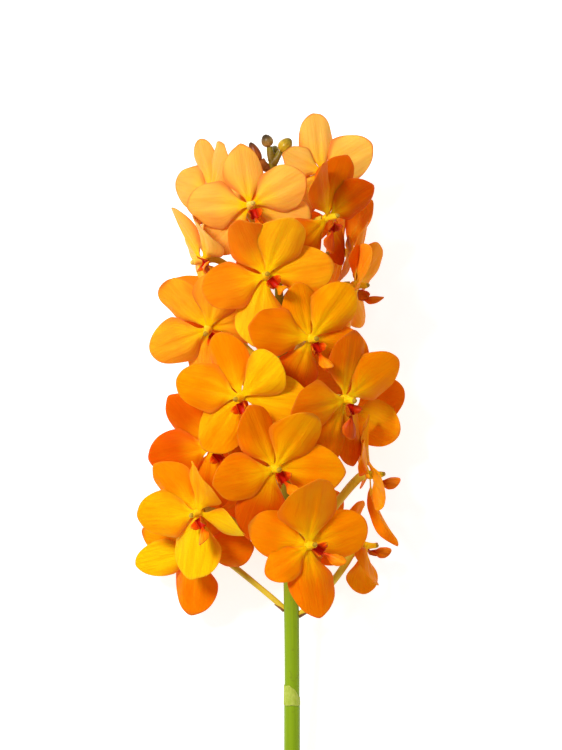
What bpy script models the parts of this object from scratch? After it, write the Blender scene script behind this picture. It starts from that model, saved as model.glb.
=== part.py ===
"""Cut vanda orchid: one flower stem with its blooms, buds and bract, lying on a surface.

The plant is laid out in its own frame, in millimetres: +X to the right and +Y from the cut end
towards the buds as one looks at its best side, +Z towards the viewer. An empty then lays it
down on z = 0, on its cut end and on one low tepal at each side of the head.
"""

import math

import bmesh
import bpy
import numpy as np
from mathutils import Matrix, Vector

MM = 0.001

# Stem: the cut end is at 0, and the head of flowers starts at HEAD_START
STEM_LENGTH = 374.0
HEAD_START = 160.0
STEM_RADIUS = 3.5
TIP_RADIUS = 1.5
AXIS_BOW = 15.3           # how far the stem bends to the left
BOW_START = 130.0
BOW_LENGTH = 420.0
STEM_POINTS = 17

# Pedicels: the stalk of each flower, which leaves the stem DROP below its flower
PEDICEL_RADIUS = 1.35
PEDICEL_SHAPE = (0.85, 1.0, 1.15)   # thickness at the stem, halfway and at the flower
PEDICEL_POINTS = 5
DROP = 25.0
DROPS = {"16": 40.0, "17": 33.0, "19": 30.0}
SWAYS = {"16": (2.0, -5.0, 0.0), "17": (5.0, -7.0, 0.0)}   # how far some hang aside
STRAIGHT = (0.0, 0.0, 0.0)
PEDICEL_RISE = 0.1        # how far it first follows the stem, and how far it leans out
PEDICEL_LEAN = 0.25
PEDICEL_TURN = 0.18       # how far before its end it turns towards the flower's back
STRAIGHT_END = 2.0        # its last stretch runs straight out of the flower's back
BACK_OF_FLOWER = 2.6      # from the meeting point of the tepals to the pedicel's end

# Bract: a papery sheath round a node of the bare stem
BRACT_START = 120.0
BRACT_END = 129.5
BRACT_WALL = 0.7
BRACT_FLARE = (0.0, 0.1, 0.6)   # how far it stands off at its foot, halfway and at its top
BRACT_STEPS = 12
GAP = 0.3                 # between two nodes that touch

# Tepals: name, direction round the flower, length, half width, height of the root, lift
TEPALS = (
    ("dorsal", 90.0, 29.8, 9.8, -0.5, -4.0),
    ("right_petal", 25.5, 30.4, 11.1, 0.7, 3.0),
    ("left_petal", 154.5, 30.4, 11.1, 0.7, 3.0),
    ("right_sepal", -37.5, 31.4, 11.1, -0.5, -6.0),
    ("left_sepal", 217.5, 31.4, 11.1, -0.5, -6.0),
)
DORSAL, RIGHT_PETAL, LEFT_PETAL, RIGHT_SEPAL, LEFT_SEPAL = range(5)
CLAW = 0.12               # width of a tepal's claw, as a share of its full width
CLAW_START = 0.02
CLAW_END = 0.47           # where the full width is reached
ROOT = 1.0                # a tepal starts this far from the column's axis
ROUND_START = 0.52        # where the rounded end begins
ROUND_POWER = 2.0
TIP_CUT = 0.6             # half width at which the last row across crosses the rounded end
CAMBER = -0.16            # edges fall away from the viewer
BLADE = 0.8               # thickness
NO_BEND = 1e-6            # a straight tepal is an arc this slight
ALONG = 5                 # cells along and across a tepal
ACROSS = 2

# Column and lip of a flower of size 1
COLUMN_LENGTH = 6.0
COLUMN_RADIUS = 2.1
COLUMN_BACK = -2.2
COLUMN_LEAN = -0.4
COLUMN_SIDES = 6
CAP_RADIUS = 1.5
MOUTH = ((0.0, -2.45, 2.4), (0.0, -7.4, 2.6))   # from the column's foot to the middle lobe
MOUTH_RADIUS = 1.6
MOUTH_FLARE = 1.1
MOUTH_SIDES = 6
SIDE_LOBE = (2.6, -4.6, 6.4)                   # tip of the right side lobe
SIDE_LOBE_RADII = (1.2, 0.7)
SIDE_LOBE_SIDES = 3
LOBE_BEND = -18.0
LOBE_THICKNESS = 1.1
LOBE_LENGTH = 12.0
LOBE_WIDTH = 2.5

# Flowers on view: across, along, out, turn, nod, roll, cup, size, swing of the five tepals, lip.
# Turn is to the right, nod is up, roll is anticlockwise, cup lifts every tepal towards the
# viewer, and a lip angle of 90 points its middle lobe straight out.
FLOWERS = {
    "01": (-19, 348, 28, 15, 10, 14, 3, 0.95, (-9, -11, 9, 15, -6), 50),
    "02": (-37, 355, -4, -60, -5, 20, 3, 0.98, (8, 0, -7, 0, 0), 60),
    "03": (14, 365, -2, 25, 5, 8, 0, 0.95, (-7, -5, -3, 16, 0), 60),
    "04": (16, 343, 18, 52, 10, -14, 10, 0.98, (0, 22, -12, 20, 15), 10),
    "05": (-41, 324, 10, -55, -10, 78, 3, 0.98, (0, 15, 0, 0, 0), 50),
    "06": (-12, 316, 35, 7, 8, 40, 3, 0.99, (-10, 0, 2, 5, 3), 80),
    "07": (-38, 293, 16, -15, -25, 45, 3, 0.99, (-3, 0, 3, 0, 0), 60),
    "08": (8, 288, 34, 28, 2, 20, 5, 1.00, (-5, 6, -4, 0, 15), 60),
    "09": (29, 313, 6, 80, 0, 8, 12, 0.97, (5, 0, -8, 0, 7), 105),
    "10": (24, 261, 27, 44, -6, 12, 8, 1.03, (-10, 0, 26, -36, 26), 10),
    "11": (-23, 262, 32, -25, -8, 17, 5, 1.02, (3, -4, -6, 12, -5), 60),
    "12": (-36, 239, 6, -18, -12, 39, 3, 1.02, (3, 0, -3, 0, 0), 60),
    "13": (-8, 230, 38, 20, 0, 33, 5, 1.02, (-8, 2, 6, 1, 2), 75),
    "14": (-42, 210, 25, -35, -10, 32, 8, 1.01, (14, 3, -4, -18, 4), 60),
    "15": (7, 196, 40, 28, 8, 57, 8, 1.01, (9, 8, 0, -4, 2), 45),
    "16": (36, 226, 4, 88, 5, 53, 8, 1.00, (0, 0, -12, 0, 0), 105),
    "17": (34, 193, -6, 88, 0, 60, 8, 0.90, (0, 0, 0, 0, 0), 105),
    "18": (28.5, 255, -23, 142, 0, 0, 0, 1.00, (0, 0, 8, 0, -20), 60),
    "19": (-44, 191, 0, -27, -6, 51, 3, 0.99, (23, 0, -13, -10, -10), 60),
}

# Tepals with a shape of their own: lift, bend and twist in degrees, how much wider and longer
SHAPED = {
    ("02", "right_sepal"): (0, 0, 0, 0.9, 0.8),
    ("03", "left_petal"): (0, 0, 0, 0.8, 0.72),
    ("04", "left_petal"): (14, 0, 0, 0.95, 1.0),
    ("04", "dorsal"): (6, 0, 0, 1.1, 1.0),
    ("04", "right_petal"): (0, 0, 0, 0.85, 0.88),
    ("05", "right_petal"): (0, 0, -35, 0.85, 0.98),
    ("10", "right_sepal"): (0, 0, 30, 0.75, 1.12),
    ("10", "left_sepal"): (0, 0, 0, 0.8, 1.05),
    ("11", "right_petal"): (0, 0, 0, 0.95, 0.97),
    ("12", "right_sepal"): (0, 0, 0, 0.85, 0.93),
    ("13", "left_sepal"): (0, 0, 0, 1.0, 1.05),
    ("14", "left_sepal"): (0, 0, 0, 1.15, 1.0),
    ("14", "right_sepal"): (0, -20, 50, 0.85, 0.92),
    ("15", "left_petal"): (-20, -75, 65, 0.7, 0.8),
    ("15", "dorsal"): (0, -30, 0, 1.1, 0.93),
    ("15", "right_petal"): (0, 0, 0, 1.42, 1.0),
    ("08", "dorsal"): (0, 0, 0, 0.92, 0.86),
    ("09", "left_sepal"): (0, 0, 0, 0.9, 0.9),
    ("16", "dorsal"): (-15, 0, 0, 0.8, 0.8),
    ("16", "right_petal"): (-30, 0, 0, 0.9, 0.9),
    ("16", "left_sepal"): (2, 30, -25, 0.85, 1.1),
    ("17", "dorsal"): (0, 0, 0, 0.8, 0.6),
    ("17", "right_petal"): (-75, 0, 0, 0.9, 0.8),
    ("17", "left_petal"): (-8, 0, 45, 0.9, 0.95),
    ("17", "left_sepal"): (5, 0, 75, 0.95, 0.8),
    ("19", "left_petal"): (0, 0, 0, 0.75, 1.05),
    ("19", "right_sepal"): (0, 0, 0, 0.8, 0.9),
    ("21", "right_sepal"): (0, 0, 0, 1.0, 0.85),
    ("24", "dorsal"): (0, 0, 0, 0.9, 0.8),
}
PLAIN = (0, 0, 0, 1.0, 1.0)

# Flowers at the back: along, angle round the stem, distance from it, turn, nod, roll, size
BACK_FLOWERS = {
    "20": (329, 120, 37, 112, 0, -25, 0.96),
    "21": (219, -143, 29, -141, 0, 10, 0.92),
    "22": (299, -120, 30.2, -112, 0, 25, 0.96),
    "23": (199, 163, 17, 170, 0, 48, 0.90),
    "24": (271, 160, 19, 170, 0, 150, 0.90),
    "25": (338, -176, 24, -176, 0, 80, 0.90),
}
BACK_LIP_ANGLE = 35
BACK_CUP = 0

# The two flowers whose lowest tepal carries the head
RESTS_ON = ("20", "22")

# Clearing of neighbours
CLEARANCE = 2.1           # between the middle surfaces of two flowers' tepals
OWN_CLEARANCE = 1.15      # between a flower's petal and the sepal below it
LIP_CLEARANCE = 3.1
LIP_REACH = 16.0          # a lip further than this on the wrong side of a tepal stays there
STEM_CLEARANCE = 2.0
FLOWER_REACH = 64.0       # flowers further apart than this never meet
TEPAL_REACH = 38.0
RADIAL_SHARE = 0.6        # two flowers part partly along their faces, partly away from the stem
OVERLAP_RULE = 0.35       # how far a lower flower's tops lie over the upper flower's bottoms
LIES_OVER = (("18", "16"), ("16", "17"))   # pairs that don't follow that rule
ROUNDS = 200
STEP = 0.45
STIFFNESS = 40.0
SETTLE = 0.004            # share of its change that a tepal springs back each round
LARGEST = np.radians((20.0, 80.0, 45.0))   # limits of its lift, bend and twist
SHIFT_STEP = 0.2
SHIFT_STIFFNESS = 4.0
SHIFT_SETTLE = 0.01
LARGEST_SHIFT = 6.0

# The surface below, in the plant's frame before it is laid down
FLOOR_START = -3.6
FLOOR_SLOPE = 0.130
FLOOR_CLEARANCE = 2.4

# Buds at the tip: across, along, out, radius, length, lean to the right, lean out, colour
BUDS = {
    "bud_1": (-3.0, 377.5, 1.0, 2.8, 7.5, 40.0, 10.0, (0.30, 0.20, 0.02)),
    "bud_2": (-11.5, 379.5, 1.5, 2.5, 6.0, -25.0, 15.0, (0.08, 0.05, 0.02)),
    "bud_3": (-17.0, 374.5, -1.0, 2.1, 10.0, -28.0, 0.0, (0.13, 0.06, 0.02)),
    "bud_4": (-8.0, 375.5, -6.0, 1.9, 5.5, 5.0, -30.0, (0.22, 0.17, 0.03)),
}
BUD_SEGMENTS = 8
BUD_RINGS = 6
BUD_FULLNESS = 0.18       # a bud is this much wider near its stalk
STALK_RADIUS = 0.9
STALK_DROP = 9.0

# Colours
GREEN = (0.16, 0.30, 0.03)
TAN = (0.45, 0.30, 0.13)
LIP_RED = (0.50, 0.03, 0.01)
DEEP_ORANGE = (0.90, 0.20, 0.005)
PALE_ORANGE = (0.93, 0.36, 0.04)


def smooth(x):
    """Smooth step from 0 to 1."""
    x = np.clip(x, 0.0, 1.0)
    return x * x * (3.0 - 2.0 * x)


def axis(along):
    """Middle of the stem at a distance from the cut end: it bends gently to the left."""
    along = np.asarray(along, float)
    bow = AXIS_BOW * smooth((along - BOW_START) / BOW_LENGTH)
    return np.stack([-bow, along, 0.0 * bow], axis=-1)


def flower_frame(turn, nod, roll):
    """Columns: right, up and out of a flower's face, in the plant's frame."""
    turn, nod, roll = (math.radians(a) for a in (turn, nod, roll))
    out = np.array([math.sin(turn) * math.cos(nod), math.sin(nod), math.cos(turn) * math.cos(nod)])
    level = np.array([math.cos(turn), 0.0, -math.sin(turn)])
    rise = np.cross(out, level)
    right = math.cos(roll) * level + math.sin(roll) * rise
    return np.stack([right, np.cross(out, right), out], axis=1)


def first_poses(name, cup):
    """Lift, bend and twist of a flower's tepals before they give way to their neighbours."""
    poses = np.zeros((len(TEPALS), 3))
    for k, (tepal, _, _, _, _, lift) in enumerate(TEPALS):
        poses[k] = np.radians(SHAPED.get((name, tepal), PLAIN)[:3])
        poses[k, 0] += math.radians(lift + cup)
    return poses


def flower_tepals(name):
    """The five tepals of a flower, the shaped ones with a size of their own."""
    tepals = []
    for tepal, direction, length, width, root, lift in TEPALS:
        wider, longer = SHAPED.get((name, tepal), PLAIN)[3:]
        tepals.append((tepal, direction, length * longer, width * wider, root, lift))
    return tepals


def all_flowers():
    """Every flower: centre, frame, size, lip angle, and swing and first pose of its tepals."""
    flowers = {}
    for name, (x, y, z, turn, nod, roll, cup, size, swing, lip) in FLOWERS.items():
        centre, frame = np.array([x, y, z], float), flower_frame(turn, nod, roll)
        flowers[name] = (centre, frame, size, lip, swing, first_poses(name, cup))
    for name, (along, angle, distance, turn, nod, roll, size) in BACK_FLOWERS.items():
        side = math.radians(angle)
        centre = axis(along) + distance * np.array([math.sin(side), 0.0, math.cos(side)])
        frame = flower_frame(turn, nod, roll)
        poses = first_poses(name, BACK_CUP)
        flowers[name] = (centre, frame, size, BACK_LIP_ANGLE, (0, 0, 0, 0, 0), poses)
    return flowers


def half_width(t):
    """Half width of a tepal along its length, as a share of its widest."""
    claw = CLAW + (1.0 - CLAW) * smooth((t - CLAW_START) / (CLAW_END - CLAW_START))
    past = np.clip((t - ROUND_START) / (1.0 - ROUND_START), 0.0, 1.0)
    return claw * np.sqrt(np.clip(1.0 - past ** ROUND_POWER, 0.0, 1.0))


def tepal_surface(tepal, size, swing, pose, along, across):
    """Middle surface of a tepal in its flower's frame: a grid of points, and how each moves.

    The pose is its lift at the root, its bend along the length and its twist, in radians. The
    moves are how far a point goes for one radian of each.
    """
    _, direction, length, width, root, _ = tepal
    lift, bend = pose[0], pose[1] + NO_BEND
    turn = math.radians(direction + swing)
    out = np.array([0.0, 0.0, 1.0])
    ahead = np.array([math.cos(turn), math.sin(turn), 0.0])
    side = np.array([-math.sin(turn), math.cos(turn), 0.0])
    length, width = (length - ROOT) * size, width * size
    end = ROUND_START + (1.0 - ROUND_START) * (1.0 - (across * TIP_CUT) ** 2) ** (1.0 / ROUND_POWER)
    t = along[:, None] * end[None, :]
    edge = along[:, None] * end[-1] + 0.0 * t
    half = half_width(edge) * width * across[None, :]
    angle = lift + bend * t
    forward = length * (np.sin(angle) - math.sin(lift)) / bend + ROOT * size
    upward = length * (math.cos(lift) - np.cos(angle)) / bend + root * size
    normal = np.cos(angle)[..., None] * out - np.sin(angle)[..., None] * ahead
    twist = (pose[2] * t)[..., None]
    lateral = np.cos(twist) * side + np.sin(twist) * normal
    normal = np.cos(twist) * normal - np.sin(twist) * side
    points = forward[..., None] * ahead + upward[..., None] * out
    points = points + half[..., None] * lateral + (CAMBER * half ** 2 / width)[..., None] * normal
    moves = np.stack([length * t, 0.5 * length * t ** 2, t * half], axis=-1)
    return points, normal, moves


def lip_points(size, lip_angle):
    """Points of a flower's column and lip, which its neighbours keep clear of."""
    angle = math.radians(lip_angle)
    ahead = np.array([0.0, -math.cos(angle), math.sin(angle)])
    lobe = np.array(MOUTH[1]) + np.linspace(0.0, 1.0, 4)[:, None] * LOBE_LENGTH * ahead
    column = np.linspace(0.3, 1.25, 3)[:, None] * np.array([0.0, 0.0, COLUMN_LENGTH])
    sides = np.array([SIDE_LOBE, SIDE_LOBE]) * [[1.0, 1.0, 1.0], [-1.0, 1.0, 1.0]]
    return np.concatenate([lobe, column, sides]) * size


def pedicel_path(name, centre, frame, count):
    """Points of a flower's pedicel, from the middle of the stem to the back of the flower."""
    out = frame[:, 2]
    last = centre - out * BACK_OF_FLOWER
    end = last - out * STRAIGHT_END
    start = axis(centre[1] - DROPS.get(name, DROP))
    reach = np.linalg.norm(end - start)
    rise = axis(centre[1]) - start
    sway = np.array(SWAYS.get(name, STRAIGHT))
    first = start + PEDICEL_RISE * rise + PEDICEL_LEAN * (end - start) + sway
    before = end - out * PEDICEL_TURN * reach + sway
    t = np.linspace(0.0, 1.0, count - 1)[:, None]
    u = 1.0 - t
    path = u ** 3 * start + 3 * u * u * t * first + 3 * u * t * t * before + t ** 3 * end
    return np.concatenate([path, [last]])


def facets(rows, cols):
    """Corner indices of the triangles of a grid of rows by cols points."""
    corner = np.arange(rows * cols).reshape(rows, cols)
    a, b = corner[:-1, :-1].ravel(), corner[1:, :-1].ravel()
    c, d = corner[1:, 1:].ravel(), corner[:-1, 1:].ravel()
    return np.concatenate([np.stack([a, b, c], 1), np.stack([a, c, d], 1)])


def heights_over(points, corners, toward):
    """How far each point lies above a set of triangles, along a direction for each pair.

    points is (pairs, n, 3) and corners is (pairs, m, 3, 3). Where no triangle lies above or
    below a point, its height is NaN. The second result is the triangle that was measured.
    """
    helper = np.where(np.abs(toward[:, :1]) < 0.7, [[1.0, 0.0, 0.0]], [[0.0, 1.0, 0.0]])
    e1 = np.cross(toward, helper)
    e1 /= np.linalg.norm(e1, axis=1, keepdims=True)
    turn = np.stack([e1, np.cross(toward, e1), toward], axis=1)
    p = np.einsum("kij,knj->kni", turn, points)[:, :, None, :]
    a, b, c = (np.einsum("kij,kmj->kmi", turn, corners[:, :, i])[:, None] for i in range(3))
    ab, ac, ap = b - a, c - a, p - a
    area = ab[..., 0] * ac[..., 1] - ab[..., 1] * ac[..., 0]
    area = np.where(np.abs(area) < 1e-9, 1e-9, area)
    v = (ap[..., 0] * ac[..., 1] - ap[..., 1] * ac[..., 0]) / area
    w = (ab[..., 0] * ap[..., 1] - ab[..., 1] * ap[..., 0]) / area
    inside = (v >= -0.02) & (w >= -0.02) & (v + w <= 1.02)
    height = np.where(inside, ap[..., 2] - v * ab[..., 2] - w * ac[..., 2], np.nan)
    nearest = np.argmin(np.where(inside, np.abs(height), np.inf), axis=2)
    return np.take_along_axis(height, nearest[..., None], axis=2)[..., 0], nearest


def meeting_pairs(names, centres, outs):
    """Pairs of tepals that may meet: the upper, the lower, the way up and the gap they keep."""
    count = len(TEPALS)
    radial = centres - axis(centres[:, 1])
    radial /= np.linalg.norm(radial, axis=1, keepdims=True)
    pairs = []
    for i in range(len(names)):
        for petal in (RIGHT_PETAL, LEFT_PETAL):
            for sepal in (DORSAL, RIGHT_SEPAL, LEFT_SEPAL):
                pairs.append((i * count + petal, i * count + sepal, outs[i], OWN_CLEARANCE))
        for j in range(i + 1, len(names)):
            between = centres[i] - centres[j]
            if np.linalg.norm(between) > FLOWER_REACH:
                continue
            way = outs[i] + outs[j] + RADIAL_SHARE * (radial[i] + radial[j])
            way /= np.linalg.norm(way)
            over = between @ way > OVERLAP_RULE * between[1]
            if (names[i], names[j]) in LIES_OVER or (names[j], names[i]) in LIES_OVER:
                over = (names[i], names[j]) in LIES_OVER
            top, bottom = (i, j) if over else (j, i)
            for a in range(count):
                for b in range(count):
                    pairs.append((top * count + a, bottom * count + b, way, CLEARANCE))
    return tuple(np.array(column) for column in zip(*pairs))


class Pushes:
    """What points of the tepals ask of each tepal's pose and of each flower's place."""

    def __init__(self, normals, moves, outs):
        self.normals, self.moves, self.outs = normals, moves, outs
        self.pull = np.zeros((len(normals), 3))
        self.weight = np.zeros((len(normals), 3))
        self.slide = np.zeros(len(outs))
        self.slide_weight = np.zeros(len(outs))

    def add(self, tepal, point, way, amount):
        """Ask one point of each listed tepal to move by an amount along a direction."""
        grip = np.einsum("ni,ni->n", self.normals[tepal, point], way)
        lever = self.moves[tepal, point] * grip[:, None]
        np.add.at(self.pull, tepal, lever * amount[:, None])
        np.add.at(self.weight, tepal, lever ** 2)
        flower = tepal // len(TEPALS)
        hold = np.einsum("ni,ni->n", self.outs[flower], way)
        np.add.at(self.slide, flower, hold * amount)
        np.add.at(self.slide_weight, flower, hold ** 2)


def part_tepals(pushes, grids, triangles, over, under, toward, gap):
    """Push the upper tepal of each pair up and the lower one down, where they are too close."""
    for some, others, sign in ((over, under, 1.0), (under, over, -1.0)):
        height, nearest = heights_over(grids[some], grids[others][:, triangles], toward * sign)
        lack = gap[:, None] - height
        pair, point = np.nonzero(lack > 0.0)
        amount, way = lack[pair, point], toward[pair] * sign
        pushes.add(some[pair], point, way, amount / 2.0)
        for corner in range(3):
            pushes.add(others[pair], triangles[nearest[pair, point], corner], -way, amount / 6.0)


def clear_lips(pushes, grids, triangles, lips, over, under, toward):
    """Push tepals off the columns and lips of other flowers."""
    for some, others, sign in ((over, under, 1.0), (under, over, -1.0)):
        ways = toward * -sign
        body = lips[others // len(TEPALS)]
        height, nearest = heights_over(body, grids[some][:, triangles], ways)
        lack = LIP_CLEARANCE - height
        pair, point = np.nonzero((lack > 0.0) & (lack < LIP_REACH))
        for corner in range(3):
            spot = triangles[nearest[pair, point], corner]
            pushes.add(some[pair], spot, -ways[pair], lack[pair, point] / 3.0)


def clear_surroundings(pushes, grids, carriers):
    """Push tepals up from the surface below, but for those that carry the head, and off the stem."""
    low = FLOOR_START - FLOOR_SLOPE * grids[..., 1] + FLOOR_CLEARANCE - grids[..., 2]
    low[carriers] = 0.0
    tepal, spot = np.nonzero(low > 0.0)
    pushes.add(tepal, spot, np.tile([0.0, 0.0, 1.0], (len(tepal), 1)), low[tepal, spot])
    away = grids - axis(grids[..., 1])
    reach = np.linalg.norm(away, axis=-1)
    tepal, spot = np.nonzero(reach < STEM_RADIUS + STEM_CLEARANCE)
    near = reach[tepal, spot]
    way = away[tepal, spot] / near[:, None]
    pushes.add(tepal, spot, way, STEM_RADIUS + STEM_CLEARANCE - near)


def clear_neighbours(flowers):
    """Bend and twist every tepal until those of different flowers lie clear of each other."""
    names, count = list(flowers), len(TEPALS)
    along, across = np.linspace(0.0, 1.0, ALONG + 1), np.linspace(-1.0, 1.0, ACROSS + 1)
    triangles = facets(ALONG + 1, ACROSS + 1)
    centres = np.array([flowers[name][0] for name in names])
    outs = np.array([flowers[name][1][:, 2] for name in names])
    first = np.concatenate([flowers[name][5] for name in names])
    over, under, toward, gap = meeting_pairs(names, centres, outs)
    carriers = np.repeat(np.isin(names, RESTS_ON), count)
    lips = []
    for _, frame, size, lip, _, _ in flowers.values():
        lips.append(lip_points(size, lip) @ frame.T)
    lips = np.array(lips)

    change = np.zeros_like(first)
    shifts = np.zeros(len(names))
    for _ in range(ROUNDS):
        here = centres + shifts[:, None] * outs
        grids, normals, moves = [], [], []
        for i, name in enumerate(names):
            _, frame, size, _, swing, _ = flowers[name]
            for k, tepal in enumerate(flower_tepals(name)):
                pose = first[i * count + k] + change[i * count + k]
                points, normal, move = tepal_surface(tepal, size, swing[k], pose, along, across)
                grids.append(points.reshape(-1, 3) @ frame.T + here[i])
                normals.append(normal.reshape(-1, 3) @ frame.T)
                moves.append(move.reshape(-1, 3))
        grids = np.array(grids)
        pushes = Pushes(np.array(normals), np.array(moves), outs)
        middle = grids.mean(axis=1)
        near = np.linalg.norm(middle[over] - middle[under], axis=1) < TEPAL_REACH
        part_tepals(pushes, grids, triangles, over[near], under[near], toward[near], gap[near])
        near &= over // count != under // count
        body = lips + here[:, None, :]
        clear_lips(pushes, grids, triangles, body, over[near], under[near], toward[near])
        clear_surroundings(pushes, grids, carriers)

        change += STEP * pushes.pull / (pushes.weight + STIFFNESS)
        change = np.clip((1.0 - SETTLE) * change, -LARGEST, LARGEST)
        shifts += SHIFT_STEP * pushes.slide / (pushes.slide_weight + SHIFT_STIFFNESS)
        shifts = np.clip((1.0 - SHIFT_SETTLE) * shifts, -LARGEST_SHIFT, LARGEST_SHIFT)

    cleared = {}
    for i, (name, (centre, frame, size, lip, swing, pose)) in enumerate(flowers.items()):
        pose = pose + change[i * count:(i + 1) * count]
        cleared[name] = (centre + shifts[i] * outs[i], frame, size, lip, swing, pose)
    return cleared


def grid_mesh(name, surface):
    """A sheet of triangles through a grid of points in millimetres."""
    rows, cols = surface.shape[:2]
    sheet = bmesh.new()
    bmesh.ops.create_grid(sheet, x_segments=rows - 1, y_segments=cols - 1, size=1.0)
    for vertex in sheet.verts:
        row = round((vertex.co.x + 1.0) / 2.0 * (rows - 1))
        col = round((vertex.co.y + 1.0) / 2.0 * (cols - 1))
        vertex.co = Vector(surface[row, col]) * MM
    bmesh.ops.triangulate(sheet, faces=sheet.faces)
    mesh = bpy.data.meshes.new(name)
    sheet.to_mesh(mesh)
    sheet.free()
    return mesh


def blade_object(name, surface, thickness, collection):
    """A thin blade: a sheet of triangles made thick on both sides alike."""
    blade = bpy.data.objects.new(name, grid_mesh(name, surface))
    collection.objects.link(blade)
    solid = blade.modifiers.new("Thickness", "SOLIDIFY")
    solid.thickness = thickness * MM
    solid.offset = 0.0
    return blade


def lump_object(name, build, matrix, collection):
    """A small closed piece made by a bmesh operator, set in place by a matrix."""
    lump = bmesh.new()
    build(lump)
    lump.transform(matrix)
    mesh = bpy.data.meshes.new(name)
    lump.to_mesh(mesh)
    lump.free()
    piece = bpy.data.objects.new(name, mesh)
    collection.objects.link(piece)
    return piece


def rod_matrix(start, end):
    """Places a cone made along Z, with its middle at 0, from one point to another."""
    start, end = Vector(start) * MM, Vector(end) * MM
    turn = Vector((0.0, 0.0, 1.0)).rotation_difference(end - start)
    return Matrix.Translation((start + end) / 2.0) @ turn.to_matrix().to_4x4()


def cone(name, start, end, radius_start, radius_end, sides, collection):
    """A closed cone between two points in millimetres."""
    depth = (Vector(end) - Vector(start)).length * MM

    def build(lump):
        bmesh.ops.create_cone(
            lump, cap_ends=True, cap_tris=True, segments=sides,
            radius1=radius_start * MM, radius2=radius_end * MM, depth=depth)

    return lump_object(name, build, rod_matrix(start, end), collection)


def tube(name, points, radii, resolution, collection):
    """A closed tube along points, made as a curve and turned into a mesh."""
    curve = bpy.data.curves.new(name, "CURVE")
    curve.dimensions = "3D"
    curve.bevel_depth = MM
    curve.bevel_resolution = resolution
    curve.use_fill_caps = True
    spline = curve.splines.new("POLY")
    spline.points.add(len(points) - 1)
    for knot, point, radius in zip(spline.points, points, radii):
        knot.co = (*(Vector(point) * MM), 1.0)
        knot.radius = radius
    guide = bpy.data.objects.new(name, curve)
    collection.objects.link(guide)
    graph = bpy.context.evaluated_depsgraph_get()
    mesh = bpy.data.meshes.new_from_object(guide.evaluated_get(graph))
    welded = bmesh.new()
    welded.from_mesh(mesh)
    bmesh.ops.remove_doubles(welded, verts=welded.verts, dist=0.001 * MM)
    bmesh.ops.triangulate(welded, faces=welded.faces)
    welded.to_mesh(mesh)
    welded.free()
    piece = bpy.data.objects.new(name, mesh)
    piece.matrix_world = guide.matrix_world
    collection.objects.link(piece)
    bpy.data.objects.remove(guide)
    return piece


def join(name, first, pieces):
    """Unite one piece with a collection of others, then remove the others."""
    union = first.modifiers.new("Union", "BOOLEAN")
    union.operation = "UNION"
    union.operand_type = "COLLECTION"
    union.collection = pieces
    union.solver = "MANIFOLD"
    graph = bpy.context.evaluated_depsgraph_get()
    mesh = bpy.data.meshes.new_from_object(first.evaluated_get(graph))
    mesh.name = name
    for piece in list(pieces.objects) + [first]:
        bpy.data.objects.remove(piece)
    bpy.data.collections.remove(pieces)
    return mesh


def pieces_for(name):
    """A collection for the pieces that one union joins."""
    pieces = bpy.data.collections.new(name + "_pieces")
    bpy.context.scene.collection.children.link(pieces)
    return pieces


def material(name, colour, roughness):
    """A plain surface in one colour."""
    look = bpy.data.materials.new(name)
    look.use_nodes = True
    shader = look.node_tree.nodes["Principled BSDF"]
    shader.inputs["Base Color"].default_value = (*colour, 1.0)
    shader.inputs["Roughness"].default_value = roughness
    shader.inputs["Metallic"].default_value = 0.0
    return look


def place(name, mesh, look, collection, parent, matrix=None):
    """A finished node, in the plant's frame."""
    node = bpy.data.objects.new(name, mesh)
    mesh.materials.clear()
    mesh.materials.append(look)
    mesh.shade_smooth()
    mesh.set_sharp_from_angle(angle=math.radians(50.0))
    collection.objects.link(node)
    node.parent = parent
    if matrix is not None:
        node.matrix_local = matrix
    return node


def flower_matrix(centre, frame):
    """Where a flower stands in the plant's frame."""
    matrix = Matrix(frame.tolist()).to_4x4()
    matrix.translation = Vector(centre) * MM
    return matrix


def bloom_mesh(number, name, size, swing, poses):
    """Five tepals and the column, joined at their roots."""
    pieces = pieces_for(name)
    along, across = np.linspace(0.0, 1.0, ALONG + 1), np.linspace(-1.0, 1.0, ACROSS + 1)
    for tepal, turn, pose in zip(flower_tepals(number), swing, poses):
        surface = tepal_surface(tepal, size, turn, pose, along, across)[0]
        blade_object(name + tepal[0], surface, BLADE, pieces)
    top = (0.0, COLUMN_LEAN, COLUMN_LENGTH * size)
    column = cone(
        name + "_column", (0.0, 0.0, COLUMN_BACK), top, COLUMN_RADIUS * size,
        CAP_RADIUS * size, COLUMN_SIDES, bpy.context.scene.collection)
    return join(name, column, pieces)


def lip_mesh(name, size, lip_angle):
    """The lip below the column: its mouth, a side lobe each side and the strap of the middle lobe."""
    pieces = pieces_for(name)
    foot, throat = (np.array(point) * size for point in MOUTH)
    strap = ("middle_lobe", 270.0, LOBE_LENGTH, LOBE_WIDTH, 0.0, 0.0)
    pose = (math.radians(lip_angle), math.radians(LOBE_BEND), 0.0)
    along, across = np.linspace(0.0, 1.0, 3), np.linspace(-1.0, 1.0, 3)
    surface = tepal_surface(strap, size, 0.0, pose, along, across)[0]
    blade_object(name + "_strap", surface + 0.75 * throat + 0.25 * foot, LOBE_THICKNESS, pieces)
    for side in (-1.0, 1.0):
        tip = np.array(SIDE_LOBE) * (side, 1.0, 1.0) * size
        start = 0.7 * foot + 0.3 * throat
        thick, thin = (radius * size for radius in SIDE_LOBE_RADII)
        cone(name + "_lobe", start, tip, thick, thin, SIDE_LOBE_SIDES, pieces)
    mouth = cone(
        name + "_mouth", foot, throat, MOUTH_RADIUS * size, MOUTH_FLARE * MOUTH_RADIUS * size,
        MOUTH_SIDES, bpy.context.scene.collection)
    return join(name, mouth, pieces)


def bud_direction(lean_right, lean_out):
    """Which way a bud points."""
    right, out = math.radians(lean_right), math.radians(lean_out)
    return np.array([math.sin(right) * math.cos(out), math.cos(right) * math.cos(out), math.sin(out)])


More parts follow.
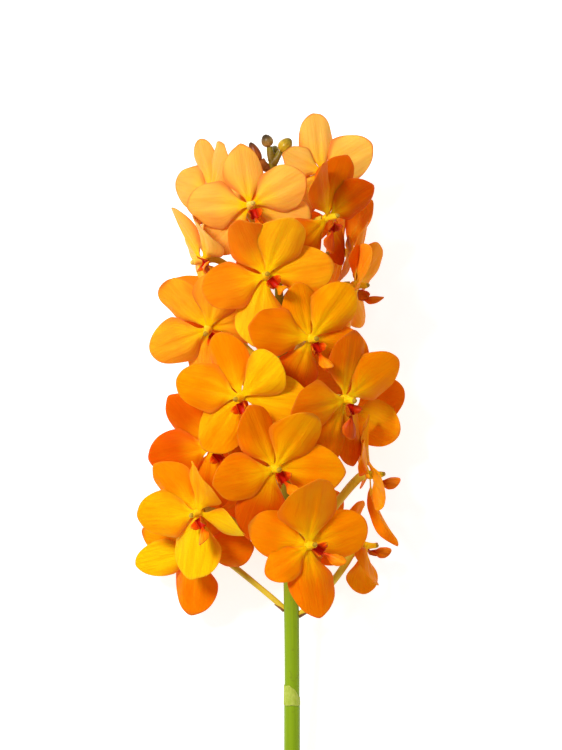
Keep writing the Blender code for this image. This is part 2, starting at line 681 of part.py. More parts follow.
def bud_mesh(name, centre, direction, radius, length):
    """A closed bud: an egg that is fuller near its stalk."""
    egg = bmesh.new()
    bmesh.ops.create_uvsphere(egg, u_segments=BUD_SEGMENTS, v_segments=BUD_RINGS, radius=1.0)
    for vertex in egg.verts:
        fullness = 1.0 - BUD_FULLNESS * vertex.co.z
        vertex.co.x *= radius * fullness * MM
        vertex.co.y *= radius * fullness * MM
        vertex.co.z *= 0.5 * length * MM
    bmesh.ops.triangulate(egg, faces=egg.faces)
    egg.transform(rod_matrix(centre - 0.5 * direction, centre + 0.5 * direction))
    mesh = bpy.data.meshes.new(name)
    egg.to_mesh(mesh)
    egg.free()
    return mesh


def stem_mesh(flowers):
    """The stem with every pedicel and bud stalk that grows from it, as one body."""
    pieces = pieces_for("stem")
    for name, (centre, frame, *_) in flowers.items():
        path = pedicel_path(name, centre, frame, PEDICEL_POINTS)
        radii = np.interp(np.linspace(0.0, 1.0, PEDICEL_POINTS), (0.0, 0.5, 1.0), PEDICEL_SHAPE)
        tube("pedicel_" + name, path, radii * PEDICEL_RADIUS, 1, pieces)
    for name, (x, y, z, radius, length, right, out, _) in BUDS.items():
        direction = bud_direction(right, out)
        end = np.array([x, y, z]) - direction * (0.5 * length + GAP)
        start = axis(y - STALK_DROP)
        bend = 0.5 * (start + end) + np.array([0.0, -1.0, 0.0])
        tube("stalk_" + name, [start, bend, end], [STALK_RADIUS] * 3, 1, pieces)
    along = np.linspace(0.0, STEM_LENGTH, STEM_POINTS)
    thinning = smooth((along - HEAD_START) / (STEM_LENGTH - HEAD_START))
    radii = STEM_RADIUS + (TIP_RADIUS - STEM_RADIUS) * thinning
    stem = tube("stem", axis(along), radii, 2, bpy.context.scene.collection)
    return join("stem", stem, pieces)


def sheath_mesh():
    """The papery bract: a short open tube round the stem, a little wider at its top."""
    heights = np.linspace(0.0, BRACT_END - BRACT_START, len(BRACT_FLARE))
    wall = bmesh.new()
    corners = []
    for flare, height in zip(BRACT_FLARE, heights):
        corners.append(wall.verts.new(((STEM_RADIUS + GAP + flare) * MM, 0.0, height * MM)))
    for first, second in zip(corners, corners[1:]):
        wall.edges.new((first, second))
    mesh = bpy.data.meshes.new("sheath")
    wall.to_mesh(mesh)
    wall.free()
    guide = bpy.data.objects.new("sheath", mesh)
    bpy.context.scene.collection.objects.link(guide)
    turned = guide.modifiers.new("Turned", "SCREW")
    turned.steps = BRACT_STEPS
    turned.render_steps = BRACT_STEPS
    turned.use_merge_vertices = True
    turned.merge_threshold = 0.01 * MM
    solid = guide.modifiers.new("Wall", "SOLIDIFY")
    solid.thickness = BRACT_WALL * MM
    solid.offset = -1.0
    graph = bpy.context.evaluated_depsgraph_get()
    result = bpy.data.meshes.new_from_object(guide.evaluated_get(graph))
    result.transform(rod_matrix(axis(BRACT_START), axis(BRACT_END)) @ Matrix.Translation(
        (0.0, 0.0, -0.5 * (BRACT_END - BRACT_START) * MM)))
    bpy.data.objects.remove(guide)
    return result


def world_points(node):
    """Corners of a node in the world, in metres."""
    corners = np.array([corner.co for corner in node.data.vertices])
    matrix = np.array(node.matrix_world)
    return corners @ matrix[:3, :3].T + matrix[:3, 3]


def lay_down(root, nodes):
    """Turn the plant so that the cut end and one tepal each side touch the surface, then centre it."""
    bpy.context.view_layer.update()
    carriers = [nodes["stem"]] + [nodes["bloom_" + name] for name in RESTS_ON]
    up = Vector((0.0, FLOOR_SLOPE, 1.0)).normalized()
    for _ in range(6):
        lowest = []
        for node in carriers:
            points = world_points(node)
            if node is carriers[0]:
                points = points[points[:, 1] < HEAD_START * 0.5 * MM]
            lowest.append(Vector(points[np.argmin(points @ np.array(up))]))
        up = (lowest[1] - lowest[0]).cross(lowest[2] - lowest[0]).normalized()
        up = -up if up.z < 0.0 else up
    root.rotation_mode = "QUATERNION"
    root.rotation_quaternion = up.rotation_difference(Vector((0.0, 0.0, 1.0)))
    bpy.context.view_layer.update()
    everything = np.concatenate([world_points(node) for node in nodes.values()])
    low, high = everything.min(axis=0), everything.max(axis=0)
    root.location = (-0.5 * (low[0] + high[0]), -0.5 * (low[1] + high[1]), -low[2])
    bpy.context.view_layer.update()


def bloom_colour(along):
    """Upper flowers are paler, lower ones deeper."""
    up = float(smooth((along - HEAD_START) / (STEM_LENGTH - HEAD_START)))
    deep, pale = np.array(DEEP_ORANGE), np.array(PALE_ORANGE)
    return tuple(deep + (pale - deep) * up)


def build():
    """Make the whole plant."""
    for thing in list(bpy.data.objects):
        bpy.data.objects.remove(thing)
    plant = bpy.data.collections.new("cut_vanda_orchid")
    bpy.context.scene.collection.children.link(plant)
    root = bpy.data.objects.new("orchid", None)
    plant.objects.link(root)

    flowers = clear_neighbours(all_flowers())
    nodes = {}
    green = material("stem", GREEN, 0.45)
    nodes["stem"] = place("stem", stem_mesh(flowers), green, plant, root)
    tan = material("sheath", TAN, 0.7)
    nodes["sheath"] = place("sheath", sheath_mesh(), tan, plant, root)
    for name, (x, y, z, radius, length, right, out, colour) in BUDS.items():
        mesh = bud_mesh(name, np.array([x, y, z]), bud_direction(right, out), radius, length)
        nodes[name] = place(name, mesh, material(name, colour, 0.5), plant, root)
    red = material("lip", LIP_RED, 0.45)
    for name, (centre, frame, size, lip, swing, poses) in flowers.items():
        matrix = flower_matrix(centre, frame)
        bloom, tongue = "bloom_" + name, "lip_" + name
        orange = material(bloom, bloom_colour(centre[1]), 0.45)
        mesh = bloom_mesh(name, bloom, size, swing, poses)
        nodes[bloom] = place(bloom, mesh, orange, plant, root, matrix)
        mesh = lip_mesh(tongue, size, lip)
        nodes[tongue] = place(tongue, mesh, red, plant, root, matrix)
    lay_down(root, nodes)


build()
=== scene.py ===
"""Cut vanda orchid: the finished look of one stem of orange blooms, lying on a pale floor.

The measures are those of the solids, in millimetres in the plant's own frame: +X to the right and
+Y from the cut end towards the buds as one looks at its best side, +Z towards the viewer. The
flowers stand and their tepals bend as in the solids, where all of them lie clear of each other.
"""

import math

import bpy
import numpy as np
from mathutils import Matrix, Vector


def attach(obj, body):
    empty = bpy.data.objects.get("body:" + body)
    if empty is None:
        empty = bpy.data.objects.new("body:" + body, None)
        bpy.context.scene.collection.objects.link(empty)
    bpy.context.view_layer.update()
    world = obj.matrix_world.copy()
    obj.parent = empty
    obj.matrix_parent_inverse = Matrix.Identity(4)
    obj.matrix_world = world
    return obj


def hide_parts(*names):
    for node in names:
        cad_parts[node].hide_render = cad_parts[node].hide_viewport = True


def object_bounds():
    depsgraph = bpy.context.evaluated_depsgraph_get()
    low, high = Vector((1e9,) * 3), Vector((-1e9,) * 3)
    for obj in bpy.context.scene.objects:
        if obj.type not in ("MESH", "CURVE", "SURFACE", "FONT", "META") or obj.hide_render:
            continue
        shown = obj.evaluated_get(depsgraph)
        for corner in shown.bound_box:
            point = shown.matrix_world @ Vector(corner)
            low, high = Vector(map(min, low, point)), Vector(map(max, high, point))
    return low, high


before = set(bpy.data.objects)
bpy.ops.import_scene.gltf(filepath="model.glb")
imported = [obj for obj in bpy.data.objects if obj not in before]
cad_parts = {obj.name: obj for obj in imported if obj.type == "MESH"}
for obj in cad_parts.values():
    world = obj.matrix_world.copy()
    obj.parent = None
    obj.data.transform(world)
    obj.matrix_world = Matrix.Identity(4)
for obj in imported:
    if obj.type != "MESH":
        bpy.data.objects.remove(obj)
CAD_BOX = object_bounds()

MM = 0.001

# Stem: the cut end is at 0, and the head of flowers starts at HEAD_START
STEM_LENGTH = 374.0
HEAD_START = 160.0
STEM_RADIUS = 3.5
TIP_RADIUS = 1.5
AXIS_BOW = 15.3           # how far the stem bends to the left
BOW_START = 130.0
BOW_LENGTH = 420.0
BELOW_NODE = 0.2          # how much thicker the stem is below the bract
NODE_SWELL = 0.15
STEM_RINGS, STEM_SIDES = 150, 28
STEM_RIBS = (7, 0.008, 0.5)   # number of ribs, their height as a share of the radius, their wind

# Pedicels: the stalk of each flower, which leaves the stem DROP below its flower
PEDICEL_RADIUS = 1.35
PEDICEL_SHAPE = (0.85, 1.0, 1.15)   # thickness at the stem, halfway and at the flower
PEDICEL_RINGS, PEDICEL_SIDES = 27, 18
PEDICEL_RIBS = (3, 0.10)
DROP = 25.0
DROPS = {"16": 40.0, "17": 33.0, "19": 30.0}
SWAYS = {"16": (2.0, -5.0, 0.0), "17": (5.0, -7.0, 0.0)}   # how far some hang aside
STRAIGHT = (0.0, 0.0, 0.0)
PEDICEL_RISE = 0.1        # how far it first follows the stem, and how far it leans out
PEDICEL_LEAN = 0.25
PEDICEL_TURN = 0.18       # how far before its end it turns towards the flower's back
STRAIGHT_END = 2.0        # its last stretch runs straight out of the flower's back
BACK_OF_FLOWER = 2.6      # from the meeting point of the tepals to the pedicel's end
STOUT = {"16": 1.35, "17": 1.2}     # the two in plain sight at the right: how stout, how green
USUAL_STOUT = 1.05
# Painted light: the two stalks in plain sight are painted paler yellow green, against their shade
PAINTED_LIGHT_STALKS = {"16": 1.0, "17": 0.8}

# The small brown bract at the foot of a pedicel
SCALE_LENGTH = 5.0
SCALE_THICKNESS = 0.3
SCALE_OPENING = 85.0      # degrees to either side of its middle
SCALE_CLEARANCE = 0.2     # off the pedicel's skin
SCALE_DEPTH = 0.6         # it starts this far inside the stem's skin
SCALE_CELLS = (9, 11)

# Bract: a papery sheath round a node of the bare stem
BRACT_START = 120.0
BRACT_LENGTH = 9.5
BRACT_LEFT = 0.85         # where its point is, in half turns
BRACT_CLEARANCE = 0.32    # off the stem at its foot, less at its top
BRACT_THICKNESS = 0.14

# Tepals: name, direction round the flower, length, half width, height of the root
TEPALS = (
    ("dorsal", 90.0, 29.8, 9.8, -0.5),
    ("right_petal", 25.5, 30.4, 11.1, 0.7),
    ("left_petal", 154.5, 30.4, 11.1, 0.7),
    ("right_sepal", -37.5, 31.4, 11.1, -0.5),
    ("left_sepal", 217.5, 31.4, 11.1, -0.5),
)
CLAW = 0.12               # width of a tepal's claw, as a share of its full width
CLAW_START = 0.02
CLAW_END = 0.47           # where the full width is reached
ROOT = 1.0                # a tepal starts this far from the column's axis
ROUND_START = 0.52        # where the rounded end begins
TIP_CUT = 0.96            # half width at which the last row across crosses the rounded end
CAMBER = -0.16            # edges fall away from the viewer
NO_BEND = 1e-6            # a straight tepal is an arc this slight
TEPAL_CELLS = (34, 22)    # along and across
TEPAL_THICKNESS = 0.55

# A tepal's folds, in millimetres: its channel, its pleats and its rolled flanks
CHANNEL_DEPTH = 0.7
CHANNEL_WIDTH = 1.3
PLEAT_HEIGHT = 0.18
ROLL_DEPTH = 1.5
EDGE_WAVES = ((1.3, 2.3), (0.3, 0.6))      # how many along each side, and how high
OUTLINE_WAVES = ((0.7, 1.6), (0.02, 0.07))     # the same, as a share of the half width

# Column and anther cap of a flower of size 1: distance out from the flower's centre and radius
COLUMN_PROFILE = (
    (-2.3, 1.2), (-1.6, 1.8), (-0.4, 2.1), (1.0, 1.9), (2.5, 1.58), (4.0, 1.45), (5.0, 1.38),
    (5.7, 1.12), (6.0, 0.65),
)
CAP_PROFILE = (
    (4.7, 0.5), (4.9, 0.95), (5.3, 1.18), (5.9, 1.15), (6.4, 0.95), (6.7, 0.55), (6.8, 0.2),
)
COLUMN_RINGS, COLUMN_SIDES, CAP_SIDES = 22, 20, 18
COLUMN_LEAN = 0.06        # towards the lip, for each millimetre outward
CAP_RISE = 0.15
CAP_FLATNESS = 0.92

# Lip of a flower of size 1: the cup, the ears at its sides and the strap in front
CUP_RADIUS = 1.85
CUP_DEPTH = 1.75
CUP_OPENING = 112.0       # degrees to either side of its floor
CUP_START = -2.3          # where it begins below the column's axis, and how far down it runs
CUP_RUN = 4.9
CUP_HEIGHT = 2.7
CUP_THICKNESS = 0.45
EAR_THICKNESS = 0.4
STRAP = (270.0, 12.0, 2.5, 0.0)     # direction, length, half width, height of the root
STRAP_BEND = -18.0
STRAP_FOOT = (0.0, -6.1625, 2.55)
STRAP_THICKNESS = 1.1
STRAP_CURL = 2.0          # how far its edges turn down
KEEL_HEIGHT = 0.28
CUP_CELLS, EAR_CELLS, STRAP_CELLS = (12, 19), (14, 15), (27, 17)
# Lips with a broad strap darkened by painted shade, seen from the side: how broad and how dark
DARK_LIPS = {
    "04": (1.35, 1.0), "10": (1.45, 1.0), "09": (1.2, 0.5), "16": (1.2, 0.4), "17": (1.2, 0.3),
}
USUAL_LIP = (1.0, 0.0)

# Flowers: across, along, out, turn, nod, roll, size, lip angle, swing of the five tepals, then
# lift, bend and twist of each. Turn is to the right, nod is up, roll and swing are anticlockwise,
# and a lip angle of 90 points the strap straight out. 20 to 25 are at the back.
FLOWERS = {
    "01": (-19.07, 347.95, 27.74, 15, 10, 14, 0.95, 50, (-9, -11, 9, 15, -6), (
        (-1.58, -0.1, 0), (6, 0, 0), (-6.76, -31.88, -32.74), (-3, 0, 0), (-21.88, -38.97, 12.01))),
    "02": (-37, 355, -4, -60, -5, 20, 0.98, 60, (8, 0, -7, 0, 0), (
        (-1, 0, 0), (6, 0, 0), (6, 0, 0), (-3, 0, 0), (-3, 0, 0))),
    "03": (13.93, 364.99, -2.15, 25, 5, 8, 0.95, 60, (-7, -5, -3, 16, 0), (
        (-4, 0, 0), (3, 0, 0), (3, 0, 0), (-21.2, -26.99, 28.84), (-4.6, 2.59, -2.59))),
    "04": (15.97, 342.99, 17.98, 52, 10, -14, 0.98, 10, (0, 22, -12, 20, 15), (
        (16.69, 15.7, -18.77), (27.09, 10.76, 14.64), (27.14, 0.07, -0.11), (-7.9, -23.83, -7.53),
        (-6.97, -24.22, 11.37))),
    "05": (-40.89, 324.02, 9.92, -55, -10, 78, 0.98, 50, (0, 15, 0, 0, 0), (
        (-9.51, -20.38, -21.7), (6.48, 0.68, -34.26), (-8.51, -38.92, 11.16), (14.38, 28.7, 8.43),
        (-10.87, -7.93, 10.53))),
    "06": (-11.93, 316.08, 35.53, 7, 8, 40, 0.99, 80, (-10, 0, 2, 5, 3), (
        (11.76, 34.95, -39.82), (24.81, 21.04, 22.12), (6, 0, 0), (1.89, 7.03, 20.06), (-3, 0, 0))),
    "07": (-38, 293, 16.01, -15, -25, 45, 0.99, 60, (-3, 0, 3, 0, 0), (
        (-1, 0, 0), (6, 0, 0), (6, 0, 0), (-2.48, 0.74, 0.67), (-3, 0, 0))),
    "08": (7.99, 288, 33.98, 28, 2, 20, 1, 60, (-5, 6, -4, 0, 15), (
        (2.35, 2.69, -2.94), (9.31, 2.68, 1.03), (2.92, -9.43, -9.6), (-0.68, -0.84, 15.27),
        (-7.83, -12.93, 15.38))),
    "09": (29.07, 313, 6.01, 80, 0, 8, 0.97, 105, (5, 0, -8, 0, 7), (
        (11.31, 7.78, -2.16), (17.35, 3.67, 3.62), (19.54, 3.29, -4.69), (3.54, -0.59, -0.41),
        (0.99, -10.02, 8.54))),
    "10": (23.82, 261.03, 26.81, 44, -6, 12, 1.03, 10, (-10, 0, 26, -36, 26), (
        (5.89, 5.1, -9.31), (13.3, 1.46, 2.22), (4.17, -18.4, -10.49), (-4.2, -14.41, 0.75),
        (-1.77, -9.1, 12.89))),
    "11": (-23.01, 262, 32.01, -25, -8, 17, 1.02, 60, (3, -4, -6, 12, -5), (
        (1, 0, 0), (10.26, 4.73, 5.05), (8, 0, 0), (-4.53, -11.52, 7.17), (-1, 0, 0))),
    "12": (-36, 239, 6, -18, -12, 39, 1.02, 60, (3, 0, -3, 0, 0), (
        (-1, 0, 0), (6, 0, 0), (6, 0, 0), (-3, 0, 0), (-3, 0, 0))),
    "13": (-7.94, 230, 38.16, 20, 0, 33, 1.02, 75, (-8, 2, 6, 1, 2), (
        (3.22, 5.42, 7.1), (16.06, 17.66, 18.53), (1.43, -13, -6.51), (3.83, 11.54, 13.35),
        (-3.87, -6.09, 9.39))),
    "14": (-42.1, 209.97, 25.15, -35, -10, 32, 1.01, 60, (14, 3, -4, -18, 4), (
        (3.79, -0.04, 0), (20.8, 17.97, -24.51), (11, 0, 0), (7.65, -8.88, 55.92), (2, 0, 0))),
    "15": (7.11, 196.03, 40.21, 28, 8, 57, 1.01, 45, (9, 8, 0, -4, 2), (
        (-1.75, -40.65, -12.71), (17.91, 16.06, 16.34), (7.82, -43.89, 34.39), (2, 0, 0), (1.4, -1, 1.2))),
    "16": (36.11, 226.01, 4, 88, 5, 53, 1, 105, (0, 0, -12, 0, 0), (
        (-7.12, 7, -13.83), (-9.38, 25.06, 11.03), (11, 0, 0), (-5.45, -9.2, -8.15), (2.93, 29.78, -25))),
    "17": (34.01, 193, -6, 88, 0, 60, 0.9, 105, (0, 0, 0, 0, 0), (
        (-16, -44.07, 45), (-44, 80, -23.48), (5.5, 1.29, 43.68), (-18, -52.98, -11.14), (2.07, -0.7, 75))),
    "18": (28.35, 255, -22.81, 142, 0, 0, 1, 60, (0, 0, 8, 0, -20), (
        (-4, 0, 0), (-3.41, -12.75, 12.25), (3, 0, 0), (-9.62, -6.87, -2.95), (-6, 0, 0))),
    "19": (-44, 191, 0, -27, -6, 51, 0.99, 60, (23, 0, -13, -10, -10), (
        (-1, 0, 0), (6, 0, 0), (6, 0, 0), (-3, 0, 0), (-3, 0, 0))),
    "20": (25.07, 329, -18.53, 112, 0, -25, 0.96, 35, (0, 0, 0, 0, 0), (
        (1.07, 14.01, 13.76), (3.81, 0.48, 0.75), (8.41, 6.6, -3.5), (-6, 0, 0), (-9.47, -13.46, -10.63))),
    "21": (-19.14, 219, -23.06, -141, 0, 10, 0.92, 35, (0, 0, 0, 0, 0), (
        (-9.07, -5.35, -6.4), (4.13, 0.25, 0.17), (-7.72, -31.84, -12.85), (-2.84, 6.55, -6.18),
        (-12.41, -14.49, 14.81))),
    "22": (-32, 299, -15.27, -112, 0, 25, 0.96, 35, (0, 0, 0, 0, 0), (
        (13.65, 22.39, -41.64), (22.99, 33.29, 24.32), (9.96, 6.12, -9.16), (6.24, 20.24, 27),
        (-5.57, 0.86, 0.9))),
    "23": (3.86, 199, -16.23, 170, 0, 48, 0.9, 35, (0, 0, 0, 0, 0), (
        (-6.15, -3.75, -3.35), (5.02, 0.56, 0.36), (3.02, -2.11, 4.3), (-9.4, -6.31, 1.18),
        (-6.95, -0.16, 0))),
    "24": (2.48, 271, -17.85, 170, 0, 150, 0.9, 35, (0, 0, 0, 0, 0), (
        (-5.98, -0.42, -0.16), (4.66, 0.34, 0.45), (4.83, 0.52, 0.19), (-6.73, -0.16, -0.11),
        (-7.3, -1.66, 0))),
    "25": (-9.21, 338, -23.94, -176, 0, 80, 0.9, 35, (0, 0, 0, 0, 0), (
        (-5.93, -0.53, -0.18), (5.02, 0.56, 0.36), (4.65, 0.47, 0.2), (-6.73, -0.16, -0.11),
        (-7.05, -0.6, -0.64))),
}

# Tepals of another size than the rest: how much wider and longer
SIZES = {
    "02": {"right_sepal": (0.9, 0.8)},
    "03": {"left_petal": (0.8, 0.72)},
    "04": {"left_petal": (0.95, 1.0), "dorsal": (1.1, 1.0), "right_petal": (0.85, 0.88)},
    "05": {"right_petal": (0.85, 0.98)},
    "08": {"dorsal": (0.92, 0.86)},
    "09": {"left_sepal": (0.9, 0.9)},
    "10": {"right_sepal": (0.75, 1.12), "left_sepal": (0.8, 1.05)},
    "11": {"right_petal": (0.95, 0.97)},
    "12": {"right_sepal": (0.85, 0.93)},
    "13": {"left_petal": (0.95, 0.93), "left_sepal": (0.97, 1.0185)},
    "14": {"left_sepal": (1.15, 1.0), "right_sepal": (0.714, 0.8464)},
    "15": {"left_petal": (0.7, 0.8), "dorsal": (1.1, 0.93), "right_petal": (1.42, 1.0)},
    "16": {"dorsal": (0.8, 0.8), "right_petal": (0.9, 0.9), "left_sepal": (0.85, 1.1)},
    "17": {"dorsal": (0.8, 0.6), "right_petal": (0.9, 0.8), "left_petal": (0.9, 0.95),
           "left_sepal": (0.95, 0.8)},
    "19": {"left_petal": (0.75, 1.05), "right_sepal": (0.8, 0.9)},
    "21": {"right_sepal": (1.0, 0.85)},
    "24": {"dorsal": (0.9, 0.8)},
}
USUAL_SIZE = (1.0, 1.0)

# Tepals close to a neighbour's: share of the usual folds, and a lift in millimetres
CALM = {
    ("13", "left_sepal"): (0.3, 0.4),
    ("13", "left_petal"): (0.3, 0.4),
    ("14", "right_sepal"): (0.2, -1.4),
}
LIVELY = (1.0, 0.0)

# How pale a flower is, and each tepal's painted light and shade, in the order of TEPALS
SHADES = {
    "01": (0.75, (-0.1, 0.3, 0.1, 0, 0)),
    "02": (0.7, (-1.2, -1.0, -0.9, -0.8, -0.8)),
    "03": (0.95, (-0.2, 0.8, 0, 0, 0.2)),
    "04": (0.1, (-1.0, -1.5, -0.9, -1.2, -1.2)),
    "05": (0.7, (0, -0.2, 0.2, 0.3, 0.3)),
    "06": (0.3, (-0.7, 0.6, 0, 0.3, 0.9)),
    "07": (0.4, (0.4, 0, 0.5, 0, 0.3)),
    "08": (0.15, (0.1, 0.4, -0.5, -0.3, -2.0)),
    "09": (0.3, (-0.5, -0.2, 0, 0, 0)),
    "10": (0.05, (-0.9, -0.2, -0.5, -0.9, -0.9)),
    "11": (0.15, (-0.1, 0.8, 0.2, 0.7, 0.4)),
    "12": (0.1, (-1.2, -1.2, -1.3, -1.2, -1.2)),
    "13": (0.05, (-0.5, 0.3, -0.4, 0.2, -1.6)),
    "14": (0.15, (-0.2, 0.4, 0.6, 1.2, 1.2)),
    "15": (0.05, (-0.4, 0, -0.3, -0.1, -0.6)),
    "16": (0.2, (0, 0.2, 0.3, -0.2, 0.1)),
    "17": (0.15, (0, 0, 0, 0.2, 0.2)),
    "18": (0.15, (0, 0, 0, 0.7, 0.7)),
    "19": (0.15, (0.3, -0.6, 1.1, -0.9, -0.5)),
}
BACK_SHADE = (0.3, (0, 0, 0, 0, 0))

# Buds at the tip: across, along, out, radius, length, lean to the right, lean out
BUDS = {
    "bud_1": (-3.0, 377.5, 1.0, 2.8, 7.5, 40.0, 10.0),
    "bud_2": (-11.5, 379.5, 1.5, 2.5, 6.0, -25.0, 15.0),
    "bud_3": (-17.0, 374.5, -1.0, 2.1, 10.0, -28.0, 0.0),
    "bud_4": (-8.0, 375.5, -6.0, 1.9, 5.5, 5.0, -30.0),
}
BUD_RINGS, BUD_SIDES = 22, 30
BUD_SWELL = 1.1
BUD_FULLNESS = 0.18       # a bud is this much wider near its stalk
SEAM_DEPTH = 0.09
STALK_RADIUS = 0.9
STALK_DROP = 9.0
STALK_RINGS, STALK_SIDES = 12, 14
STALK_RIBS = (3, 0.08, 2.0)
STALK_SHAPE = (2.1, 1.9, 1.5)       # thickness at the stem, halfway and at the bud
RUSSET_STALKS = {"bud_3": (1.7, 2.3, 2.7)}

# The numbers that a finish reads at each point, and how softly petals are pressed on the surface
READS = ("along", "side", "rim", "back", "seed", "pale", "glow")
PRESSED = 0.0003

# Places of the finishes on a piece: the stem's six, the bloom's column and cap
SKIN, STALK, SCALE, CUT, BUD_STALK, RUSSET = range(6)
COLUMN, CAP = 1, 2

# Camera and light
EYE = (-5.06, 271.8, 1200.0)
VIEW_HEIGHT = 345.0       # what the picture's height takes in at the stem
SENSOR = 36.0
CLIP = (0.05, 20.0)
HEAD_MIDDLE = (-5.0, 260.0, 20.0)
KEY_PLACE = (-620.0, 760.0, 1080.0)
KEY_SIZE = 0.34
KEY_POWER = 15.6
KEY_COLOUR = (1.0, 0.98, 0.95)
SKY_STRENGTH = 0.48
FLOOR_REACH = 3.0
FLOOR_LIGHT = 0.72
WHITE = (1.0, 1.0, 1.0, 1.0)


def colour(red, green, blue):
    """A colour given from 0 to 255, as the linear numbers that materials take."""
    parts = []
    for level in (red, green, blue):
        share = level / 255.0
        parts.append(share / 12.92 if share <= 0.04045 else ((share + 0.055) / 1.055) ** 2.4)
    return (*parts, 1.0)


# The plant's form, as in the solids

def smooth(x):
    """Smooth step from 0 to 1."""
    x = np.clip(x, 0.0, 1.0)
    return x * x * (3.0 - 2.0 * x)


def unit(vector):
    """A vector of length 1."""
    return vector / np.linalg.norm(vector)


def round_angles(sides):
    """Angles of equal steps round a circle."""
    return np.linspace(0.0, 2.0 * math.pi, sides, endpoint=False)


def axis(along):
    """Middle of the stem at a distance from the cut end: it bends gently to the left."""
    along = np.asarray(along, float)
    bow = AXIS_BOW * smooth((along - BOW_START) / BOW_LENGTH)
    return np.stack([-bow, along, 0.0 * bow], axis=-1)


def flower_frame(turn, nod, roll):
    """Columns: right, up and out of a flower's face, in the plant's facing."""
    turn, nod, roll = (math.radians(a) for a in (turn, nod, roll))
    out = np.array([math.sin(turn) * math.cos(nod), math.sin(nod), math.cos(turn) * math.cos(nod)])
    level = np.array([math.cos(turn), 0.0, -math.sin(turn)])
    rise = np.cross(out, level)
    right = math.cos(roll) * level + math.sin(roll) * rise
    return np.stack([right, np.cross(out, right), out], axis=1)


def claw_width(t):
    """How a tepal widens from its claw, as a share of its full half width."""
    return CLAW + (1.0 - CLAW) * smooth((t - CLAW_START) / (CLAW_END - CLAW_START))


def half_width(t):
    """Half width of a tepal along its length, as a share of its widest."""
    past = np.clip((t - ROUND_START) / (1.0 - ROUND_START), 0.0, 1.0)
    return claw_width(t) * np.sqrt(1.0 - past ** 2)


def tepal_surface(tepal, size, pose, along, across):
    """Middle surface of a tepal in its flower's facing.

    The pose is its lift at the root, its bend along the length and its twist, in radians. Besides
    the points and normals it gives the share of the length and the way aside at each point.
    """
    direction, length, width, root = tepal
    lift, bend = pose[0], pose[1] + NO_BEND
    turn = math.radians(direction)
    out = np.array([0.0, 0.0, 1.0])
    ahead = np.array([math.cos(turn), math.sin(turn), 0.0])
    side = np.array([-math.sin(turn), math.cos(turn), 0.0])
    length, width = (length - ROOT) * size, width * size
    end = ROUND_START + (1.0 - ROUND_START) * np.sqrt(1.0 - (across * TIP_CUT) ** 2)
    t = along[:, None] * end
    half = half_width(along[:, None] * end[-1]) * width * across
    angle = lift + bend * t
    forward = length * (np.sin(angle) - math.sin(lift)) / bend + ROOT * size
    upward = length * (math.cos(lift) - np.cos(angle)) / bend + root * size
    normal = np.cos(angle)[..., None] * out - np.sin(angle)[..., None] * ahead
    twist = (pose[2] * t)[..., None]
    lateral = np.cos(twist) * side + np.sin(twist) * normal
    normal = np.cos(twist) * normal - np.sin(twist) * side
    points = forward[..., None] * ahead + upward[..., None] * out
    points = points + half[..., None] * lateral + (CAMBER * half ** 2 / width)[..., None] * normal
    return points, normal, t, half


def pedicel_path(name, centre, facing):
    """Points of a flower's pedicel, from the middle of the stem to the back of the flower."""
    out = facing[:, 2]
    last = centre - out * BACK_OF_FLOWER
    end = last - out * STRAIGHT_END
    start = axis(centre[1] - DROPS.get(name, DROP))
    reach = np.linalg.norm(end - start)
    rise = axis(centre[1]) - start
    sway = np.array(SWAYS.get(name, STRAIGHT))
    first = start + PEDICEL_RISE * rise + PEDICEL_LEAN * (end - start) + sway
    before = end - out * PEDICEL_TURN * reach + sway
    t = np.linspace(0.0, 1.0, PEDICEL_RINGS - 1)[:, None]
    u = 1.0 - t
    path = u ** 3 * start + 3 * u * u * t * first + 3 * u * t * t * before + t ** 3 * end
    return np.concatenate([path, [last]])


def bud_direction(lean_right, lean_out):
    """Which way a bud points."""
    right, out = math.radians(lean_right), math.radians(lean_out)
    return np.array([math.sin(right) * math.cos(out), math.cos(right) * math.cos(out), math.sin(out)])


# Where the plant lies

def node_points(name):
    """The different corners of a node of the frame, in millimetres."""
    corners = np.array([corner.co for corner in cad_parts[name].data.vertices])
    return np.unique(np.round(corners / MM, 3), axis=0)


def plant_turn():
    """The turn and shift in millimetres that lay the plant on the surface, read off the solids."""
    stem = node_points("stem")
    own = [(0.0, 0.0, 0.0)]
    laid = [stem[stem[:, 1] < stem[:, 1].min() + 2.0].mean(axis=0)]
    for name, (x, y, z, *_) in BUDS.items():
        own.append((x, y, z))
        laid.append(node_points(name).mean(axis=0))
    own, laid = np.array(own), np.array(laid)
    u, _, vt = np.linalg.svd((own - own.mean(axis=0)).T @ (laid - laid.mean(axis=0)))
    turn = vt.T @ np.diag((1.0, 1.0, np.linalg.det(vt.T @ u.T))) @ u.T
    return turn, laid.mean(axis=0) - turn @ own.mean(axis=0)


TURN, SHIFT = plant_turn()


# Building of shapes

def new_object(name, data):
    """A new object of the scene."""
    thing = bpy.data.objects.new(name, data)
    bpy.context.scene.collection.objects.link(thing)
    return thing


def lengthwise(cells):
    """Rows from 0 to 1 along a small blade and columns from -1 to 1 across it."""
    rows, cols = cells
    return np.linspace(0.0, 1.0, rows)[:, None], np.linspace(-1.0, 1.0, cols)


def grid_of(*places):
    """A grid of points from three coordinates, each given for the rows, the columns or both."""
    return np.stack(np.broadcast_arrays(*places), axis=-1)


def surface_normals(grid):
    """Unit normals of a grid of points, rows by columns."""
    normal = np.cross(np.gradient(grid, axis=0), np.gradient(grid, axis=1))
    return normal / np.maximum(np.linalg.norm(normal, axis=-1, keepdims=True), 1e-9)


def within_box(points):
    """Points kept in the room the solids take up: what would pass a side is pressed flat there."""
    for limit, sign in zip(CAD_BOX, (1.0, -1.0)):
        inside = sign * (points - np.array(limit))
        points = np.array(limit) + sign * 0.5 * (inside + np.sqrt(inside ** 2 + PRESSED ** 2))
    return points


